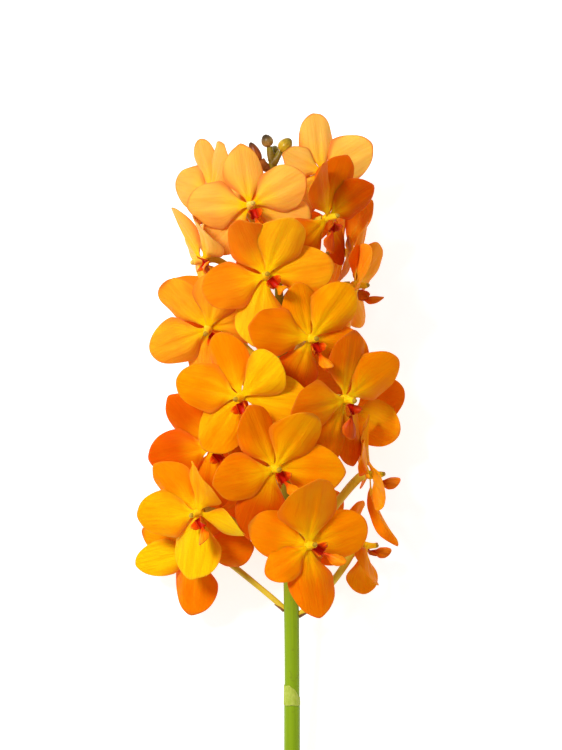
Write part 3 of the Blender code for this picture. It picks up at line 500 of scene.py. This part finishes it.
class Shape:
    """Points and faces of one piece, and the numbers that its finish reads at each point."""

    def __init__(self):
        self.points, self.faces, self.looks = [], [], []
        self.reads = {name: [] for name in READS}
        self.count = 0

    def corners(self, points, reads):
        """Add a grid of points and return their numbers."""
        rows, cols = points.shape[:2]
        number = np.arange(rows * cols).reshape(rows, cols) + self.count
        self.count += rows * cols
        self.points.append(points.reshape(-1, 3))
        for name in READS:
            values = np.broadcast_to(np.asarray(reads.get(name, 0.0), float), (rows, cols))
            self.reads[name].append(values.ravel())
        return number

    def add_faces(self, corners, look, flip):
        """Add faces with one look, turned over if asked."""
        self.faces.append(corners[:, ::-1] if flip else corners)
        self.looks.append(np.full(len(corners), look))

    def span(self, number, look, flip=False):
        """Faces between neighbours in a grid of point numbers."""
        quads = np.stack([number[:-1, :-1], number[1:, :-1], number[1:, 1:], number[:-1, 1:]], -1)
        self.add_faces(quads.reshape(-1, 4), look, flip)

    def blade(self, middle, thickness, look=0, **reads):
        """A thin closed blade about a middle surface: its face, its underside and its rim."""
        half = 0.5 * np.broadcast_to(thickness, middle.shape[:2])[..., None] * surface_normals(middle)
        top = self.corners(middle + half, reads)
        bottom = self.corners(middle - half, {**reads, "back": 1.0})
        self.span(top, look)
        self.span(bottom, look, flip=True)
        rings = []
        for number in (top, bottom):
            edge = [number[:-1, 0], number[-1, :-1], number[:0:-1, -1], number[0, :0:-1]]
            edge = np.concatenate(edge)
            rings.append(np.append(edge, edge[0]))
        self.span(np.stack(rings, axis=1), look, flip=True)

    def tube(self, rings, look, end_look=None, **reads):
        """A closed tube through rings of points, with its two ends filled."""
        number = self.corners(rings, reads)
        self.span(np.concatenate([number, number[:, :1]], axis=1), look, flip=True)
        for end, flip in ((0, True), (-1, False)):
            at_end = {}
            for name, value in reads.items():
                at_end[name] = np.broadcast_to(np.asarray(value, float), rings.shape[:2])[end].mean()
            middle = self.corners(rings[end].mean(axis=0)[None, None], at_end)[0, 0]
            edge = self.corners(rings[end][None], {**at_end, "rim": 1.0})[0]
            wheel = np.stack([edge, np.roll(edge, -1), np.full(len(edge), middle)], axis=1)
            self.add_faces(wheel, look if end_look is None else end_look, flip)

    def piece(self, name, looks, slot, *nodes, centre=(0.0, 0.0, 0.0), facing=np.eye(3)):
        """The finished piece, riding on the root, standing for its nodes of the frame."""
        points = np.concatenate(self.points) @ facing.T + np.asarray(centre)
        points = within_box((points @ TURN.T + SHIFT) * MM)
        faces = [corners for block in self.faces for corners in block.tolist()]
        mesh = bpy.data.meshes.new(name)
        mesh.from_pydata(points.tolist(), [], faces)
        for look in looks:
            mesh.materials.append(look)
        mesh.polygons.foreach_set("material_index", np.concatenate(self.looks).astype(np.int32))
        for reading, values in self.reads.items():
            layer = mesh.attributes.new(reading, "FLOAT", "POINT")
            layer.data.foreach_set("value", np.concatenate(values).astype(np.float32))
        mesh.shade_smooth()
        thing = new_object(name, mesh)
        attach(thing, "root")
        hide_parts(*nodes)


def rod(path, radii, sides, ribs, rib, wind):
    """Rings of points round a path, with ribs that wind along it."""
    ahead = np.gradient(path, axis=0)
    ahead /= np.linalg.norm(ahead, axis=1, keepdims=True)
    right = np.cross(ahead[0], (0.3, 0.1, 1.0))
    angle = round_angles(sides)
    rings = []
    for step, (point, along, radius) in enumerate(zip(path, ahead, radii)):
        right = unit(right - (right @ along) * along)
        up = np.cross(along, right)
        swell = radius * (1.0 + rib * np.cos(ribs * (angle + wind * step / len(path))))
        rings.append(point + (swell * np.cos(angle))[:, None] * right
                     + (swell * np.sin(angle))[:, None] * up)
    return np.array(rings)


# Blooms

def two_sided(side, chance, turns, size, t):
    """A wave along each side of a tepal, of its own length and height."""
    waves = np.zeros_like(t)
    for sign in (-1.0, 1.0):
        count, start = chance.uniform(*turns), chance.uniform(0.0, 2.0 * math.pi)
        wave = chance.uniform(*size) * np.sin(2.0 * math.pi * count * t + start)
        waves += np.where(side * sign > 0.0, wave, 0.0)
    return waves


def tepal_relief(t, side, half, chance):
    """Height of a tepal's own folds over its smooth surface, in millimetres."""
    channel = np.exp(-(half / CHANNEL_WIDTH) ** 2) * smooth(t / 0.2)
    channel *= 1.0 - 0.7 * smooth((t - 0.6) / 0.4)
    pleats = np.cos(side * chance.uniform(5.0, 9.0) + chance.uniform(0.0, 6.0))
    pleats *= smooth((t - 0.1) / 0.4) * (1.0 - smooth((t - 0.7) / 0.3))
    edge = smooth((np.abs(side) - 0.35) / 0.65) * smooth(t / 0.5)
    waves = edge * two_sided(side, chance, *EDGE_WAVES, t)
    droop = chance.uniform(-0.2, 0.9) * smooth((t - 0.6) / 0.4)
    reflex = chance.uniform(0.1, 0.9) * smooth((np.abs(side) - 0.4) / 0.6) * smooth((t - 0.3) / 0.4)
    rolled = np.abs(side) ** 2.2 * smooth((t - 0.08) / 0.15) * (1.0 - smooth((t - 0.5) / 0.4))
    return (PLEAT_HEIGHT * pleats - CHANNEL_DEPTH * channel + waves - droop - reflex
            - ROLL_DEPTH * rolled)


def tepal_outline(points, t, side, half, chance):
    """A tepal's own outline: uneven sides and a slight point at its tip."""
    across = points[:, -1] - points[:, 0]
    across = (across / np.linalg.norm(across, axis=1, keepdims=True))[:, None]
    ahead = np.gradient(points, axis=0)
    ahead = ahead / np.maximum(np.linalg.norm(ahead, axis=-1, keepdims=True), 1e-9)
    wider = two_sided(side, chance, *OUTLINE_WAVES, t)
    point = chance.uniform(0.0, 1.3) * np.exp(-(side / 0.22) ** 2) * smooth((t - 0.7) / 0.3)
    notch = chance.uniform(-0.4, 0.6) * np.sin(3.0 * side + chance.uniform(0.0, 6.0)) * t ** 6
    points = points + (wider * half * smooth(t / 0.3))[..., None] * across
    return points + (point + notch)[..., None] * ahead


def add_tepal(shape, tepal, size, pose, chance, folds, lift, **reads):
    """One tepal of a flower as a fine blade."""
    rows, cols = TEPAL_CELLS
    across = np.sin(np.linspace(-0.5 * math.pi, 0.5 * math.pi, cols + 1))
    along = np.linspace(0.0, 1.0, rows + 1)
    points, normals, t, half = tepal_surface(tepal, size, pose, along, across)
    side = half / (tepal[2] * size * claw_width(t))
    points = tepal_outline(points, t, side, half, chance)
    relief = folds * tepal_relief(t, side, half, chance) + lift * smooth(t / 0.3)
    rim = np.maximum(np.abs(across), along[:, None] ** 3)
    thickness = TEPAL_THICKNESS * (1.0 - 0.6 * rim ** 4) * (1.2 - 0.4 * t)
    shape.blade(points + relief[..., None] * normals, thickness, along=t, side=side, rim=rim,
                seed=chance.uniform(), **reads)


def column_rings(rise, heights, radii, sides, up, flatness):
    """Rings across a flower's column, which leans a little towards the lip."""
    angle = round_angles(sides)[:, None]
    circle = np.cos(angle) * [1.0, 0.0, 0.0] + flatness * np.sin(angle) * up
    centres = np.stack([0.0 * heights, rise - COLUMN_LEAN * np.maximum(heights, 0.0), heights], axis=-1)
    return centres[:, None] + radii[:, None, None] * circle


def add_column(shape, size, **reads):
    """The column, a short thick stalk, with the anther cap on its end."""
    places, radii = np.array(COLUMN_PROFILE).T
    heights = np.linspace(places[0], places[-1], COLUMN_RINGS)
    radii = np.interp(heights, places, radii)
    share = np.linspace(0.0, 1.0, COLUMN_RINGS)[:, None]
    rings = column_rings(0.0, heights, radii, COLUMN_SIDES, [0.0, 1.0, 0.0], 1.0)
    shape.tube(rings * size, COLUMN, along=share, **reads)
    heights, radii = np.array(CAP_PROFILE).T
    share = np.linspace(0.0, 1.0, len(heights))[:, None]
    rings = column_rings(CAP_RISE, heights, radii, CAP_SIDES, [0.0, 1.0, 0.1], CAP_FLATNESS)
    shape.tube(rings * size, CAP, along=share, **reads)


def add_lip(shape, size, lip_angle, breadth, chance, **reads):
    """The lip: a cup below the column, an ear at each side of it and the ridged strap in front."""
    w, u = lengthwise(CUP_CELLS)
    bend = u * math.radians(CUP_OPENING)
    deep = CUP_DEPTH - 0.5 * smooth((w - 0.55) / 0.45) - 0.5 * smooth((0.35 - w) / 0.35)
    cup = grid_of(CUP_RADIUS * np.sin(bend), CUP_START - CUP_RUN * w,
                  CUP_HEIGHT - deep * np.cos(bend))
    shape.blade(cup * size, CUP_THICKNESS * size, along=0.15 * w, side=u, **reads)
    w, v = lengthwise(EAR_CELLS)
    reach = np.sqrt(np.clip(1.0 - w ** 3, 0.02, 1.0))
    for sign in (-1.0, 1.0):
        lean = chance.uniform(-0.3, 0.3)
        x = sign * (1.75 + 1.7 * w + 0.5 * w * w * v + 0.25 * np.sin(6.0 * v + lean) * w)
        y = -4.7 + (2.1 - 0.3 * w) * reach * v - 0.2 * w
        ear = grid_of(x, y, 2.4 + 3.7 * w + 0.25 * np.cos(2.0 * v)) * size
        ear = ear[:, ::-1] if sign < 0.0 else ear
        shape.blade(ear, EAR_THICKNESS * size, along=0.1 + 0.45 * w, side=v, **reads)
    direction, length, width, root = STRAP
    strap = (direction, length, width * breadth, root)
    pose = (math.radians(lip_angle), math.radians(STRAP_BEND), 0.0)
    along, side = lengthwise(STRAP_CELLS)
    side = np.sin(0.5 * math.pi * side)
    middle, normals, t, _ = tepal_surface(strap, size, pose, along[:, 0], side)
    keels = np.cos(side * 3.0 * math.pi) * (1.0 - smooth((t - 0.55) / 0.3)) * (1.0 - side ** 4)
    curl = -STRAP_CURL * side ** 2 * smooth((t - 0.05) / 0.3)
    middle = middle + ((KEEL_HEIGHT * keels + curl) * size)[..., None] * normals
    middle = middle + np.array(STRAP_FOOT) * size
    rim = np.maximum(np.abs(side), along ** 3)
    thickness = STRAP_THICKNESS * size * (1.0 - 0.5 * rim ** 3)
    shape.blade(middle, thickness, along=0.2 + 0.8 * t, side=side, rim=rim, **reads)


def add_blooms(bloom_looks, lip_look):
    """Every bloom and its lip."""
    for number, (x, y, z, turn, nod, roll, size, lip, swings, poses) in FLOWERS.items():
        place = {"centre": (x, y, z), "facing": flower_frame(turn, nod, roll)}
        chance = np.random.default_rng(int(number))
        # Each tepal's painted light and shade: lighter where lit, darker where in shade
        pale, glows = SHADES.get(number, BACK_SHADE)
        bloom = Shape()
        for (name, direction, length, width, root), swing, pose, glow in zip(
                TEPALS, swings, poses, glows):
            wider, longer = SIZES.get(number, {}).get(name, USUAL_SIZE)
            tepal = (direction + swing, length * longer, width * wider, root)
            add_tepal(bloom, tepal, size, np.radians(pose), chance,
                      *CALM.get((number, name), LIVELY), pale=pale, glow=glow)
        add_column(bloom, size, pale=pale, seed=chance.uniform())
        bloom.piece("petals_" + number, bloom_looks, "petals", "bloom_" + number, **place)
        tongue = Shape()
        # The lips of flowers in shade carry painted shade as a darker strap
        breadth, dark = DARK_LIPS.get(number, USUAL_LIP)
        add_lip(tongue, size, lip, breadth, chance, pale=pale, seed=chance.uniform(), glow=-dark)
        tongue.piece("tongue_" + number, (lip_look,), "lips", "lip_" + number, **place)


# Stem, bract and buds

def add_stem(*finishes):
    """The stem with its stalks and the small brown bracts below them."""
    shape = Shape()
    along = np.linspace(0.0, STEM_LENGTH, STEM_RINGS)
    thinning = smooth((along - HEAD_START) / (STEM_LENGTH - HEAD_START))
    radii = STEM_RADIUS + (TIP_RADIUS - STEM_RADIUS) * thinning
    radii += BELOW_NODE * smooth((BRACT_START + 1.0 - along) / 2.0)
    radii += NODE_SWELL * np.exp(-((along - BRACT_START) / 1.5) ** 2)
    shape.tube(rod(axis(along), radii, STEM_SIDES, *STEM_RIBS), SKIN, end_look=CUT,
               along=(along / STEM_LENGTH)[:, None],
               side=np.linspace(0.0, 1.0, STEM_SIDES, endpoint=False))
    for name, (x, y, z, turn, nod, roll, *_) in FLOWERS.items():
        chance = np.random.default_rng(100 + int(name))
        path = pedicel_path(name, np.array([x, y, z]), flower_frame(turn, nod, roll))
        share = np.linspace(0.0, 1.0, PEDICEL_RINGS)
        radii = np.interp(share, (0.0, 0.5, 1.0), PEDICEL_SHAPE) * PEDICEL_RADIUS
        radii = radii * STOUT.get(name, USUAL_STOUT)
        rings = rod(path, radii, PEDICEL_SIDES, *PEDICEL_RIBS, chance.uniform(2.0, 4.0))
        # Painted light on the two stalks in plain sight, a random younger tone on the rest
        yellow_tone_and_light = PAINTED_LIGHT_STALKS.get(name, chance.uniform(0.0, 0.4))
        shape.tube(rings, STALK, along=share[:, None], seed=yellow_tone_and_light)
        add_scale(shape, path, radii[0], chance)
    for name, (x, y, z, _, length, right, out) in BUDS.items():
        end = np.array([x, y, z]) - bud_direction(right, out) * (0.5 * length)
        start = axis(y - STALK_DROP)
        bend = 0.5 * (start + end) + np.array([0.0, -1.0, 0.0])
        t = np.linspace(0.0, 1.0, STALK_RINGS)[:, None]
        path = (1 - t) ** 2 * start + 2 * t * (1 - t) * bend + t * t * end
        look = RUSSET if name in RUSSET_STALKS else BUD_STALK
        form = RUSSET_STALKS.get(name, STALK_SHAPE)
        radii = STALK_RADIUS * np.interp(t[:, 0], (0.0, 0.5, 1.0), form)
        shape.tube(rod(path, radii, STALK_SIDES, *STALK_RIBS), look, along=t, seed=0.5)
    shape.piece("stem_and_stalks", finishes, "stem", "stem")


def add_scale(shape, path, radius, chance):
    """The small brown bract that clasps the lower side of a pedicel's foot."""
    steps = np.linalg.norm(np.diff(path, axis=0), axis=1)
    travel = np.concatenate([[0.0], np.cumsum(steps)])
    aside = np.linalg.norm(path - axis(path[:, 1]), axis=1)
    start = np.interp(STEM_RADIUS - SCALE_DEPTH, aside[:12], travel[:12])
    w, u = lengthwise(SCALE_CELLS)
    w = w[:, 0]
    reach = start + chance.uniform(0.8, 1.2) * SCALE_LENGTH * w
    middle = np.stack([np.interp(reach, travel, path[:, place]) for place in range(3)], axis=-1)
    ahead = unit(middle[-1] - middle[0])
    below = unit(np.array([0.0, -1.0, 0.0]) + ahead[1] * ahead)
    beside = np.cross(ahead, below)
    opening = math.radians(SCALE_OPENING) * (1.0 - w ** 2.5)[:, None] * u
    off = (radius + SCALE_CLEARANCE + 0.25 * w ** 2)[:, None, None]
    film = middle[:, None] + off * (np.cos(opening)[..., None] * below
                                    + np.sin(opening)[..., None] * beside)
    shape.blade(film, SCALE_THICKNESS, SCALE, along=w[:, None], side=0.2 + 0.2 * u)


def add_buds(finishes):
    """The closed buds at the tip, each with its seams and its small point."""
    share = np.linspace(0.02, 0.98, BUD_RINGS)
    angle = round_angles(BUD_SIDES)[:, None]
    seam = 1.0 - SEAM_DEPTH * np.exp(-(np.sin(1.5 * angle) / 0.16) ** 2)
    for (name, (x, y, z, radius, length, right, out)), finish in zip(BUDS.items(), finishes):
        direction = bud_direction(right, out)
        sideways = unit(np.cross(direction, (0.0, 0.0, 1.0)))
        up = np.cross(direction, sideways)
        rings = []
        for s in share:
            height = -math.cos(math.pi * s)
            swell = math.sin(math.pi * s) * (1.0 - BUD_FULLNESS * height)
            middle = np.array([x, y, z]) + direction * 0.5 * length * height
            rings.append(middle + BUD_SWELL * radius * swell * seam * (
                np.cos(angle) * sideways + np.sin(angle) * up))
        shape = Shape()
        shape.tube(np.array(rings), 0, along=share[:, None],
                   side=np.linspace(0.0, 1.0, BUD_SIDES, endpoint=False))
        shape.piece("closed_" + name, (finish,), "buds", name)


def add_sheath(finish):
    """The papery bract: a thin film round the stem that runs up to a point at the left."""
    turn, w = np.linspace(0.0, 2.0 * math.pi, 61)[None, :], np.linspace(0.0, 1.0, 14)[:, None]
    to_left = 0.5 + 0.5 * np.cos(turn - math.pi * BRACT_LEFT)
    top = BRACT_LENGTH * (0.35 + 0.62 * smooth(to_left * 1.1)) + 0.25 * np.sin(7 * turn)
    height = BRACT_START + 0.15 * np.sin(5.0 * turn) * (1.0 - w) + w * top
    radius = STEM_RADIUS + BRACT_CLEARANCE - 0.12 * w + 0.04 * np.sin(4.0 * turn + 1.0) * w
    film = axis(height) + grid_of(radius * np.cos(turn), 0.0, radius * np.sin(turn))
    shape = Shape()
    shape.blade(film[:, ::-1], BRACT_THICKNESS, along=w, side=turn / (2.0 * math.pi))
    shape.piece("papery_bract", (finish,), "bract", "sheath")


# Finishes

class Web:
    """The nodes of one tree, a material's or a group's."""

    def __init__(self, tree):
        self.tree = tree

    def feed(self, socket, value):
        """Put a number, a colour or another node's output into a socket."""
        if isinstance(value, bpy.types.NodeSocket):
            self.tree.links.new(value, socket)
        else:
            socket.default_value = value

    def node(self, kind, settings=(), **values):
        """A node, with its settings and with numbers or other nodes' outputs in its sockets."""
        node = self.tree.nodes.new("ShaderNode" + kind)
        for setting, value in dict(settings).items():
            setattr(node, setting, value)
        for socket, value in values.items():
            self.feed(node.inputs[socket.replace("_", " ")], value)
        return node

    def reading(self, name):
        """The number that the surface carries under this name."""
        settings = {"attribute_type": "GEOMETRY", "attribute_name": name}
        return self.node("Attribute", settings).outputs["Fac"]

    def sum_of(self, operation, *values):
        """Arithmetic on numbers and outputs."""
        node = self.node("Math", {"operation": operation})
        for socket, value in zip(node.inputs, values):
            self.feed(socket, value)
        return node.outputs[0]

    def product(self, first, second):
        """Two numbers or outputs multiplied."""
        return self.sum_of("MULTIPLY", first, second)

    def fade(self, value, start, end, low=0.0, high=1.0):
        """A soft change from low to high as a value goes from start to end."""
        return self.node("MapRange", {"interpolation_type": "SMOOTHSTEP"}, Value=value,
                         From_Min=start, From_Max=end, To_Min=low, To_Max=high).outputs[0]

    def noise(self, place, scale, detail, **values):
        """Soft noise over a place."""
        return self.node("TexNoise", Vector=place, Scale=scale, Detail=detail, **values).outputs[0]

    def use(self, group, **values):
        """A group placed here with its own values."""
        return self.node("Group", {"node_tree": group}, **values).outputs


class Group(Web):
    """A node group with named number sockets."""

    def __init__(self, name, inputs, outputs):
        super().__init__(bpy.data.node_groups.new(name, "ShaderNodeTree"))
        for sockets, way in ((inputs, "INPUT"), (outputs, "OUTPUT")):
            for socket in sockets:
                self.tree.interface.new_socket(socket, in_out=way, socket_type="NodeSocketFloat")
        self.given = self.tree.nodes.new("NodeGroupInput").outputs
        self.result = self.tree.nodes.new("NodeGroupOutput").inputs


class Finish(Web):
    """A material, with the values that are the same all over and a colour that is built up."""

    def __init__(self, name, levels, **sockets):
        self.material = bpy.data.materials.new(name)
        self.material.use_nodes = True
        super().__init__(self.material.node_tree)
        self.surface = self.tree.nodes["Principled BSDF"]
        for socket, value in sockets.items():
            self.surface.inputs[socket.replace("_", " ")].default_value = value
        self.body = colour(*levels)

    def mix(self, share, first, second):
        """Two colours mixed by a share."""
        node = self.node("Mix", {"data_type": "RGBA"})
        for index, value in ((0, share), (6, first), (7, second)):
            self.feed(node.inputs[index], value)
        return node.outputs[2]

    def tint(self, share, levels):
        """Another colour mixed into the body by a share."""
        self.body = self.mix(share, self.body, colour(*levels))

    def done(self, height, distance, strength):
        """The material, with its colour and with fine relief in the light on it."""
        self.feed(self.surface.inputs["Base Color"], self.body)
        bump = self.node("Bump", Height=height, Distance=distance, Strength=strength)
        self.feed(self.surface.inputs["Normal"], bump.outputs[0])
        return self.material


def vein_group():
    """Fine lines that fan out along a petal, and the broader soft streaks between them."""
    web = Group("fanning veins", ("Side", "Along", "Seed", "Count"), ("Lines", "Streaks"))
    shift = web.product(web.given["Seed"], 57.0)
    across = web.sum_of("ADD", web.product(web.given["Side"], web.given["Count"]), shift)
    down = web.product(web.given["Along"], 2.2)
    place = web.node("CombineXYZ", X=across, Y=down, Z=shift).outputs[0]
    fine = web.noise(place, 1.0, 2.0, Roughness=0.55)
    wide = web.node("VectorMath", {"operation": "MULTIPLY"}, Vector=place)
    web.feed(wide.inputs[1], (0.28, 0.9, 1.0))
    broad = web.noise(wide.outputs[0], 1.0, 1.0)
    web.feed(web.result["Lines"], web.fade(fine, 0.42, 0.62))
    web.feed(web.result["Streaks"], web.fade(broad, 0.35, 0.65))
    return web.tree


def mottle_group():
    """Soft uneven patches over a plant's skin."""
    web = Group("soft mottling", ("Scale",), ("Patches", "Specks"))
    place = web.node("TexCoord").outputs["Object"]
    patches = web.noise(place, web.given["Scale"], 3.0)
    specks = web.noise(place, web.product(web.given["Scale"], 6.0), 2.0)
    web.feed(web.result["Patches"], web.fade(patches, 0.35, 0.65))
    web.feed(web.result["Specks"], web.fade(specks, 0.62, 0.72))
    return web.tree


VEINS, MOTTLING = vein_group(), mottle_group()


def petal_finish():
    """Satin petals: orange with a yellow throat, fine veins and paler undersides."""
    look = Finish("orange petal", (241, 138, 2), Roughness=0.42, Subsurface_Weight=0.45,
                  Subsurface_Scale=0.002, Subsurface_Radius=(1.0, 0.22, 0.03),
                  Specular_IOR_Level=0.03, Specular_Tint=(1.0, 0.7, 0.35, 1.0), IOR=1.35)
    along, side, rim, back, seed, pale, glow = (look.reading(name) for name in READS)
    fans = look.use(VEINS, Side=side, Along=along, Seed=seed, Count=11.0)
    patches = look.use(MOTTLING, Scale=90.0)["Patches"]
    uneven = look.sum_of("MULTIPLY_ADD", patches, 0.1, -0.05)
    streaky = look.sum_of("MULTIPLY_ADD", fans["Streaks"], 0.06, uneven)
    # Painted light and shade, with some random tone: yellower where lit, deeper orange in shade
    tone_and_painted_light = look.sum_of("MULTIPLY_ADD", glow, 0.5, look.sum_of("ADD", streaky, 0.3))
    look.tint(look.fade(tone_and_painted_light, 0.3, 0.95), (255, 194, 10))
    look.tint(look.fade(tone_and_painted_light, 0.4, -0.5), (196, 80, 2))
    look.tint(look.fade(pale, 0.2, 1.0, 0.0, 0.85), (252, 200, 90))
    aside = look.sum_of("ABSOLUTE", side)
    # Painted shade: deeper orange on the inner flanks of each tepal, where its edges roll back
    painted_flank_shade = look.product(look.fade(aside, 0.3, 1.0), look.fade(along, 0.8, 0.35))
    look.tint(look.product(painted_flank_shade, look.fade(pale, 0.0, 1.0, 0.6, 0.35)), (226, 98, 1))
    wedge = look.product(look.fade(along, 0.6, 0.1), look.fade(aside, 1.0, 0.1))
    heart = look.fade(along, 0.3, 0.08)
    look.tint(look.sum_of("MAXIMUM", look.product(wedge, 0.65), heart), (255, 198, 8))
    look.tint(look.product(fans["Lines"], look.fade(pale, 0.2, 1.0, 0.18, 0.1)), (226, 100, 3))
    edge = look.product(look.fade(rim, 0.85, 1.0), look.fade(pale, 0.1, 1.0, 0.2, 0.85))
    look.tint(edge, (214, 118, 52))
    browned = look.product(look.fade(along, 0.9, 1.0), look.fade(seed, 0.62, 0.9))
    look.tint(look.product(browned, 0.6), (150, 84, 30))
    under = look.product(back, look.fade(pale, 0.1, 1.0, 0.3, 0.6))
    underside = look.mix(look.fade(pale, 0.2, 0.9), colour(236, 150, 24), colour(250, 196, 120))
    look.body = look.mix(under, look.body, underside)
    look.feed(look.surface.inputs["Roughness"], look.fade(patches, 0.0, 1.0, 0.38, 0.5))
    return look.done(fans["Lines"], 0.0001, 0.6)


def column_finish():
    """The fleshy yellow column."""
    look = Finish("yellow column", (250, 190, 10), Roughness=0.45, Subsurface_Weight=0.3,
                  Subsurface_Scale=0.0015, Specular_IOR_Level=0.08)
    patches = look.use(MOTTLING, Scale=300.0)["Patches"]
    look.tint(patches, (255, 208, 30))
    look.tint(look.fade(look.reading("along"), 0.35, 0.0), (250, 160, 6))
    look.tint(look.fade(look.reading("pale"), 0.2, 1.0, 0.0, 0.5), (252, 214, 120))
    return look.done(patches, 0.0002, 0.4)


def cap_finish():
    """The olive anther cap."""
    look = Finish("olive cap", (168, 126, 20), Roughness=0.45, Specular_IOR_Level=0.15)
    patches = look.use(MOTTLING, Scale=500.0)["Patches"]
    look.tint(patches, (196, 156, 40))
    look.tint(look.fade(look.reading("along"), 0.5, 0.1), (112, 62, 8))
    look.tint(look.fade(look.reading("pale"), 0.3, 1.0, 0.0, 0.7), (238, 214, 110))
    return look.done(patches, 0.0002, 0.4)


def lip_finish():
    """The waxy lip: dark red in its mouth, orange red towards its blunt end."""
    look = Finish("red lip", (200, 28, 2), Roughness=0.4, Subsurface_Weight=0.25,
                  Subsurface_Scale=0.001, Specular_IOR_Level=0.08)
    along, side, rim, back, seed, _, glow = (look.reading(name) for name in READS)
    fans = look.use(VEINS, Side=side, Along=along, Seed=seed, Count=5.0)
    look.tint(look.fade(along, 0.12, 0.35), (236, 84, 4))
    look.tint(look.fade(along, 0.35, 0.65), (253, 150, 8))
    look.tint(look.product(fans["Lines"], 0.3), (186, 30, 2))
    # Painted shade: a darker red over the straps of lips that lie in shade
    look.tint(look.product(look.product(glow, -0.85), look.fade(along, 0.1, 0.3)), (184, 48, 3))
    look.tint(look.product(back, 0.75), (186, 96, 10))
    look.tint(look.fade(rim, 0.7, 1.0, 0.0, 0.5), (240, 124, 10))
    return look.done(fans["Lines"], 0.0001, 0.5)


def skin_finish(name, scale, roughness, plain, streak, speck, far_end=None, yellow_tone_and_light=None):
    """A plant's smooth skin with streaks along it and specks.

    The far end is where it changes to a colour of its own: start, end and colour. The yellow tone
    and light is a paler yellow green mixed in by the seed reading: the colour of the youngest of
    its kind, and painted light where a stalk in shade is painted brighter.
    """
    look = Finish(name, plain, Roughness=roughness, Specular_IOR_Level=0.2)
    spots = look.use(MOTTLING, Scale=scale)
    turn = look.product(look.reading("side"), 2.0 * math.pi)
    place = look.node("CombineXYZ", X=look.sum_of("COSINE", turn), Y=look.sum_of("SINE", turn),
                      Z=look.product(look.reading("along"), 1.5))
    lines = look.fade(look.noise(place.outputs[0], 3.5, 2.0), 0.3, 0.75)
    look.tint(lines, streak)
    look.tint(look.product(spots["Patches"], 0.3), streak)
    look.tint(look.product(spots["Specks"], 0.5), speck)
    if yellow_tone_and_light is not None:
        look.tint(look.reading("seed"), yellow_tone_and_light)
    if far_end is not None:
        start, end, levels = far_end
        look.tint(look.fade(look.reading("along"), start, end), levels)
    return look.done(lines, 0.0002, 0.4)


# Skins: scale of the mottling, roughness, and the colours of the skin, its streaks and its specks
STEM_SKINS = (
    skin_finish("stem green", 60.0, 0.38, (138, 168, 8), (124, 154, 14), (118, 130, 20),
                far_end=(0.42, 0.52, (136, 122, 18))),
    skin_finish("stalk olive", 160.0, 0.4, (194, 156, 28), (212, 178, 44), (156, 112, 26),
                yellow_tone_and_light=(232, 208, 52)),
    skin_finish("small brown bract", 300.0, 0.6, (150, 100, 54), (112, 68, 32), (64, 38, 18)),
    skin_finish("cut face", 900.0, 0.5, (206, 208, 140), (186, 190, 110), (150, 150, 80)),
    skin_finish("bud stalk", 160.0, 0.35, (132, 116, 26), (112, 86, 22), (78, 48, 14)),
    skin_finish("russet bud stalk", 200.0, 0.35, (160, 86, 22), (112, 60, 16), (78, 42, 14)),
)
BRACT_PAPER = skin_finish("papery bract", 300.0, 0.5, (162, 180, 54), (184, 196, 84), (92, 74, 32))
BUD_SKINS = (
    skin_finish("olive bud", 260.0, 0.3, (206, 172, 36), (170, 130, 24), (110, 66, 16),
                far_end=(0.5, 0.95, (104, 84, 16))),
    skin_finish("brown bud", 260.0, 0.3, (146, 108, 48), (180, 142, 76), (70, 44, 20),
                far_end=(0.3, 0.8, (66, 50, 26))),
    skin_finish("dark red bud", 260.0, 0.35, (168, 84, 20), (128, 56, 14), (70, 34, 12),
                far_end=(0.45, 0.9, (62, 40, 24))),
    skin_finish("green bud", 260.0, 0.35, (150, 140, 40), (120, 100, 30), (80, 50, 16)),
)

add_blooms((petal_finish(), column_finish(), cap_finish()), lip_finish())
add_stem(*STEM_SKINS)
add_sheath(BRACT_PAPER)
add_buds(BUD_SKINS)


# Floor, light and camera

def laid(point):
    """A place in the plant's frame, in millimetres, as a place in the world."""
    return Vector(TURN @ np.array(point, float) + SHIFT) * MM


def add_floor():
    """A plain pale floor."""
    mesh = bpy.data.meshes.new("floor")
    low, high = -FLOOR_REACH, FLOOR_REACH
    corners = [(low, low, 0.0), (high, low, 0.0), (high, high, 0.0), (low, high, 0.0)]
    mesh.from_pydata(corners, [], [(0, 1, 2, 3)])
    floor = new_object("floor", mesh)
    look = Finish("pale floor", (214, 214, 214), Roughness=0.9, Specular_IOR_Level=0.1,
                  Emission_Color=WHITE, Emission_Strength=FLOOR_LIGHT)
    look.feed(look.surface.inputs["Base Color"], look.body)
    mesh.materials.append(look.material)


def add_key_light():
    """A soft lamp at the upper left, aimed at the head of flowers."""
    lamp = bpy.data.lights.new("key", "AREA")
    lamp.shape = "DISK"
    lamp.size, lamp.energy, lamp.color = KEY_SIZE, KEY_POWER, KEY_COLOUR
    thing = new_object("key", lamp)
    thing.location = laid(KEY_PLACE)
    toward = laid(HEAD_MIDDLE) - thing.location
    thing.rotation_euler = toward.to_track_quat("-Z", "Y").to_euler()


def add_camera():
    """The photograph's view: straight down on the plant's best side."""
    camera = bpy.data.cameras.new("camera")
    camera.sensor_width = SENSOR
    camera.lens = SENSOR * EYE[2] / VIEW_HEIGHT
    camera.clip_start, camera.clip_end = CLIP
    thing = new_object("camera", camera)
    matrix = Matrix(TURN.tolist()).to_4x4()
    matrix.translation = laid(EYE)
    thing.matrix_world = matrix
    bpy.context.scene.camera = thing


def add_sky():
    """Even white light from all round."""
    sky = bpy.data.worlds.new("studio")
    sky.use_nodes = True
    light = sky.node_tree.nodes["Background"].inputs
    light["Color"].default_value = WHITE
    light["Strength"].default_value = SKY_STRENGTH
    bpy.context.scene.world = sky


add_floor()
add_sky()
add_key_light()
add_camera()
bpy.context.scene.view_settings.view_transform = "Standard"

bpy.context.view_layer.update()
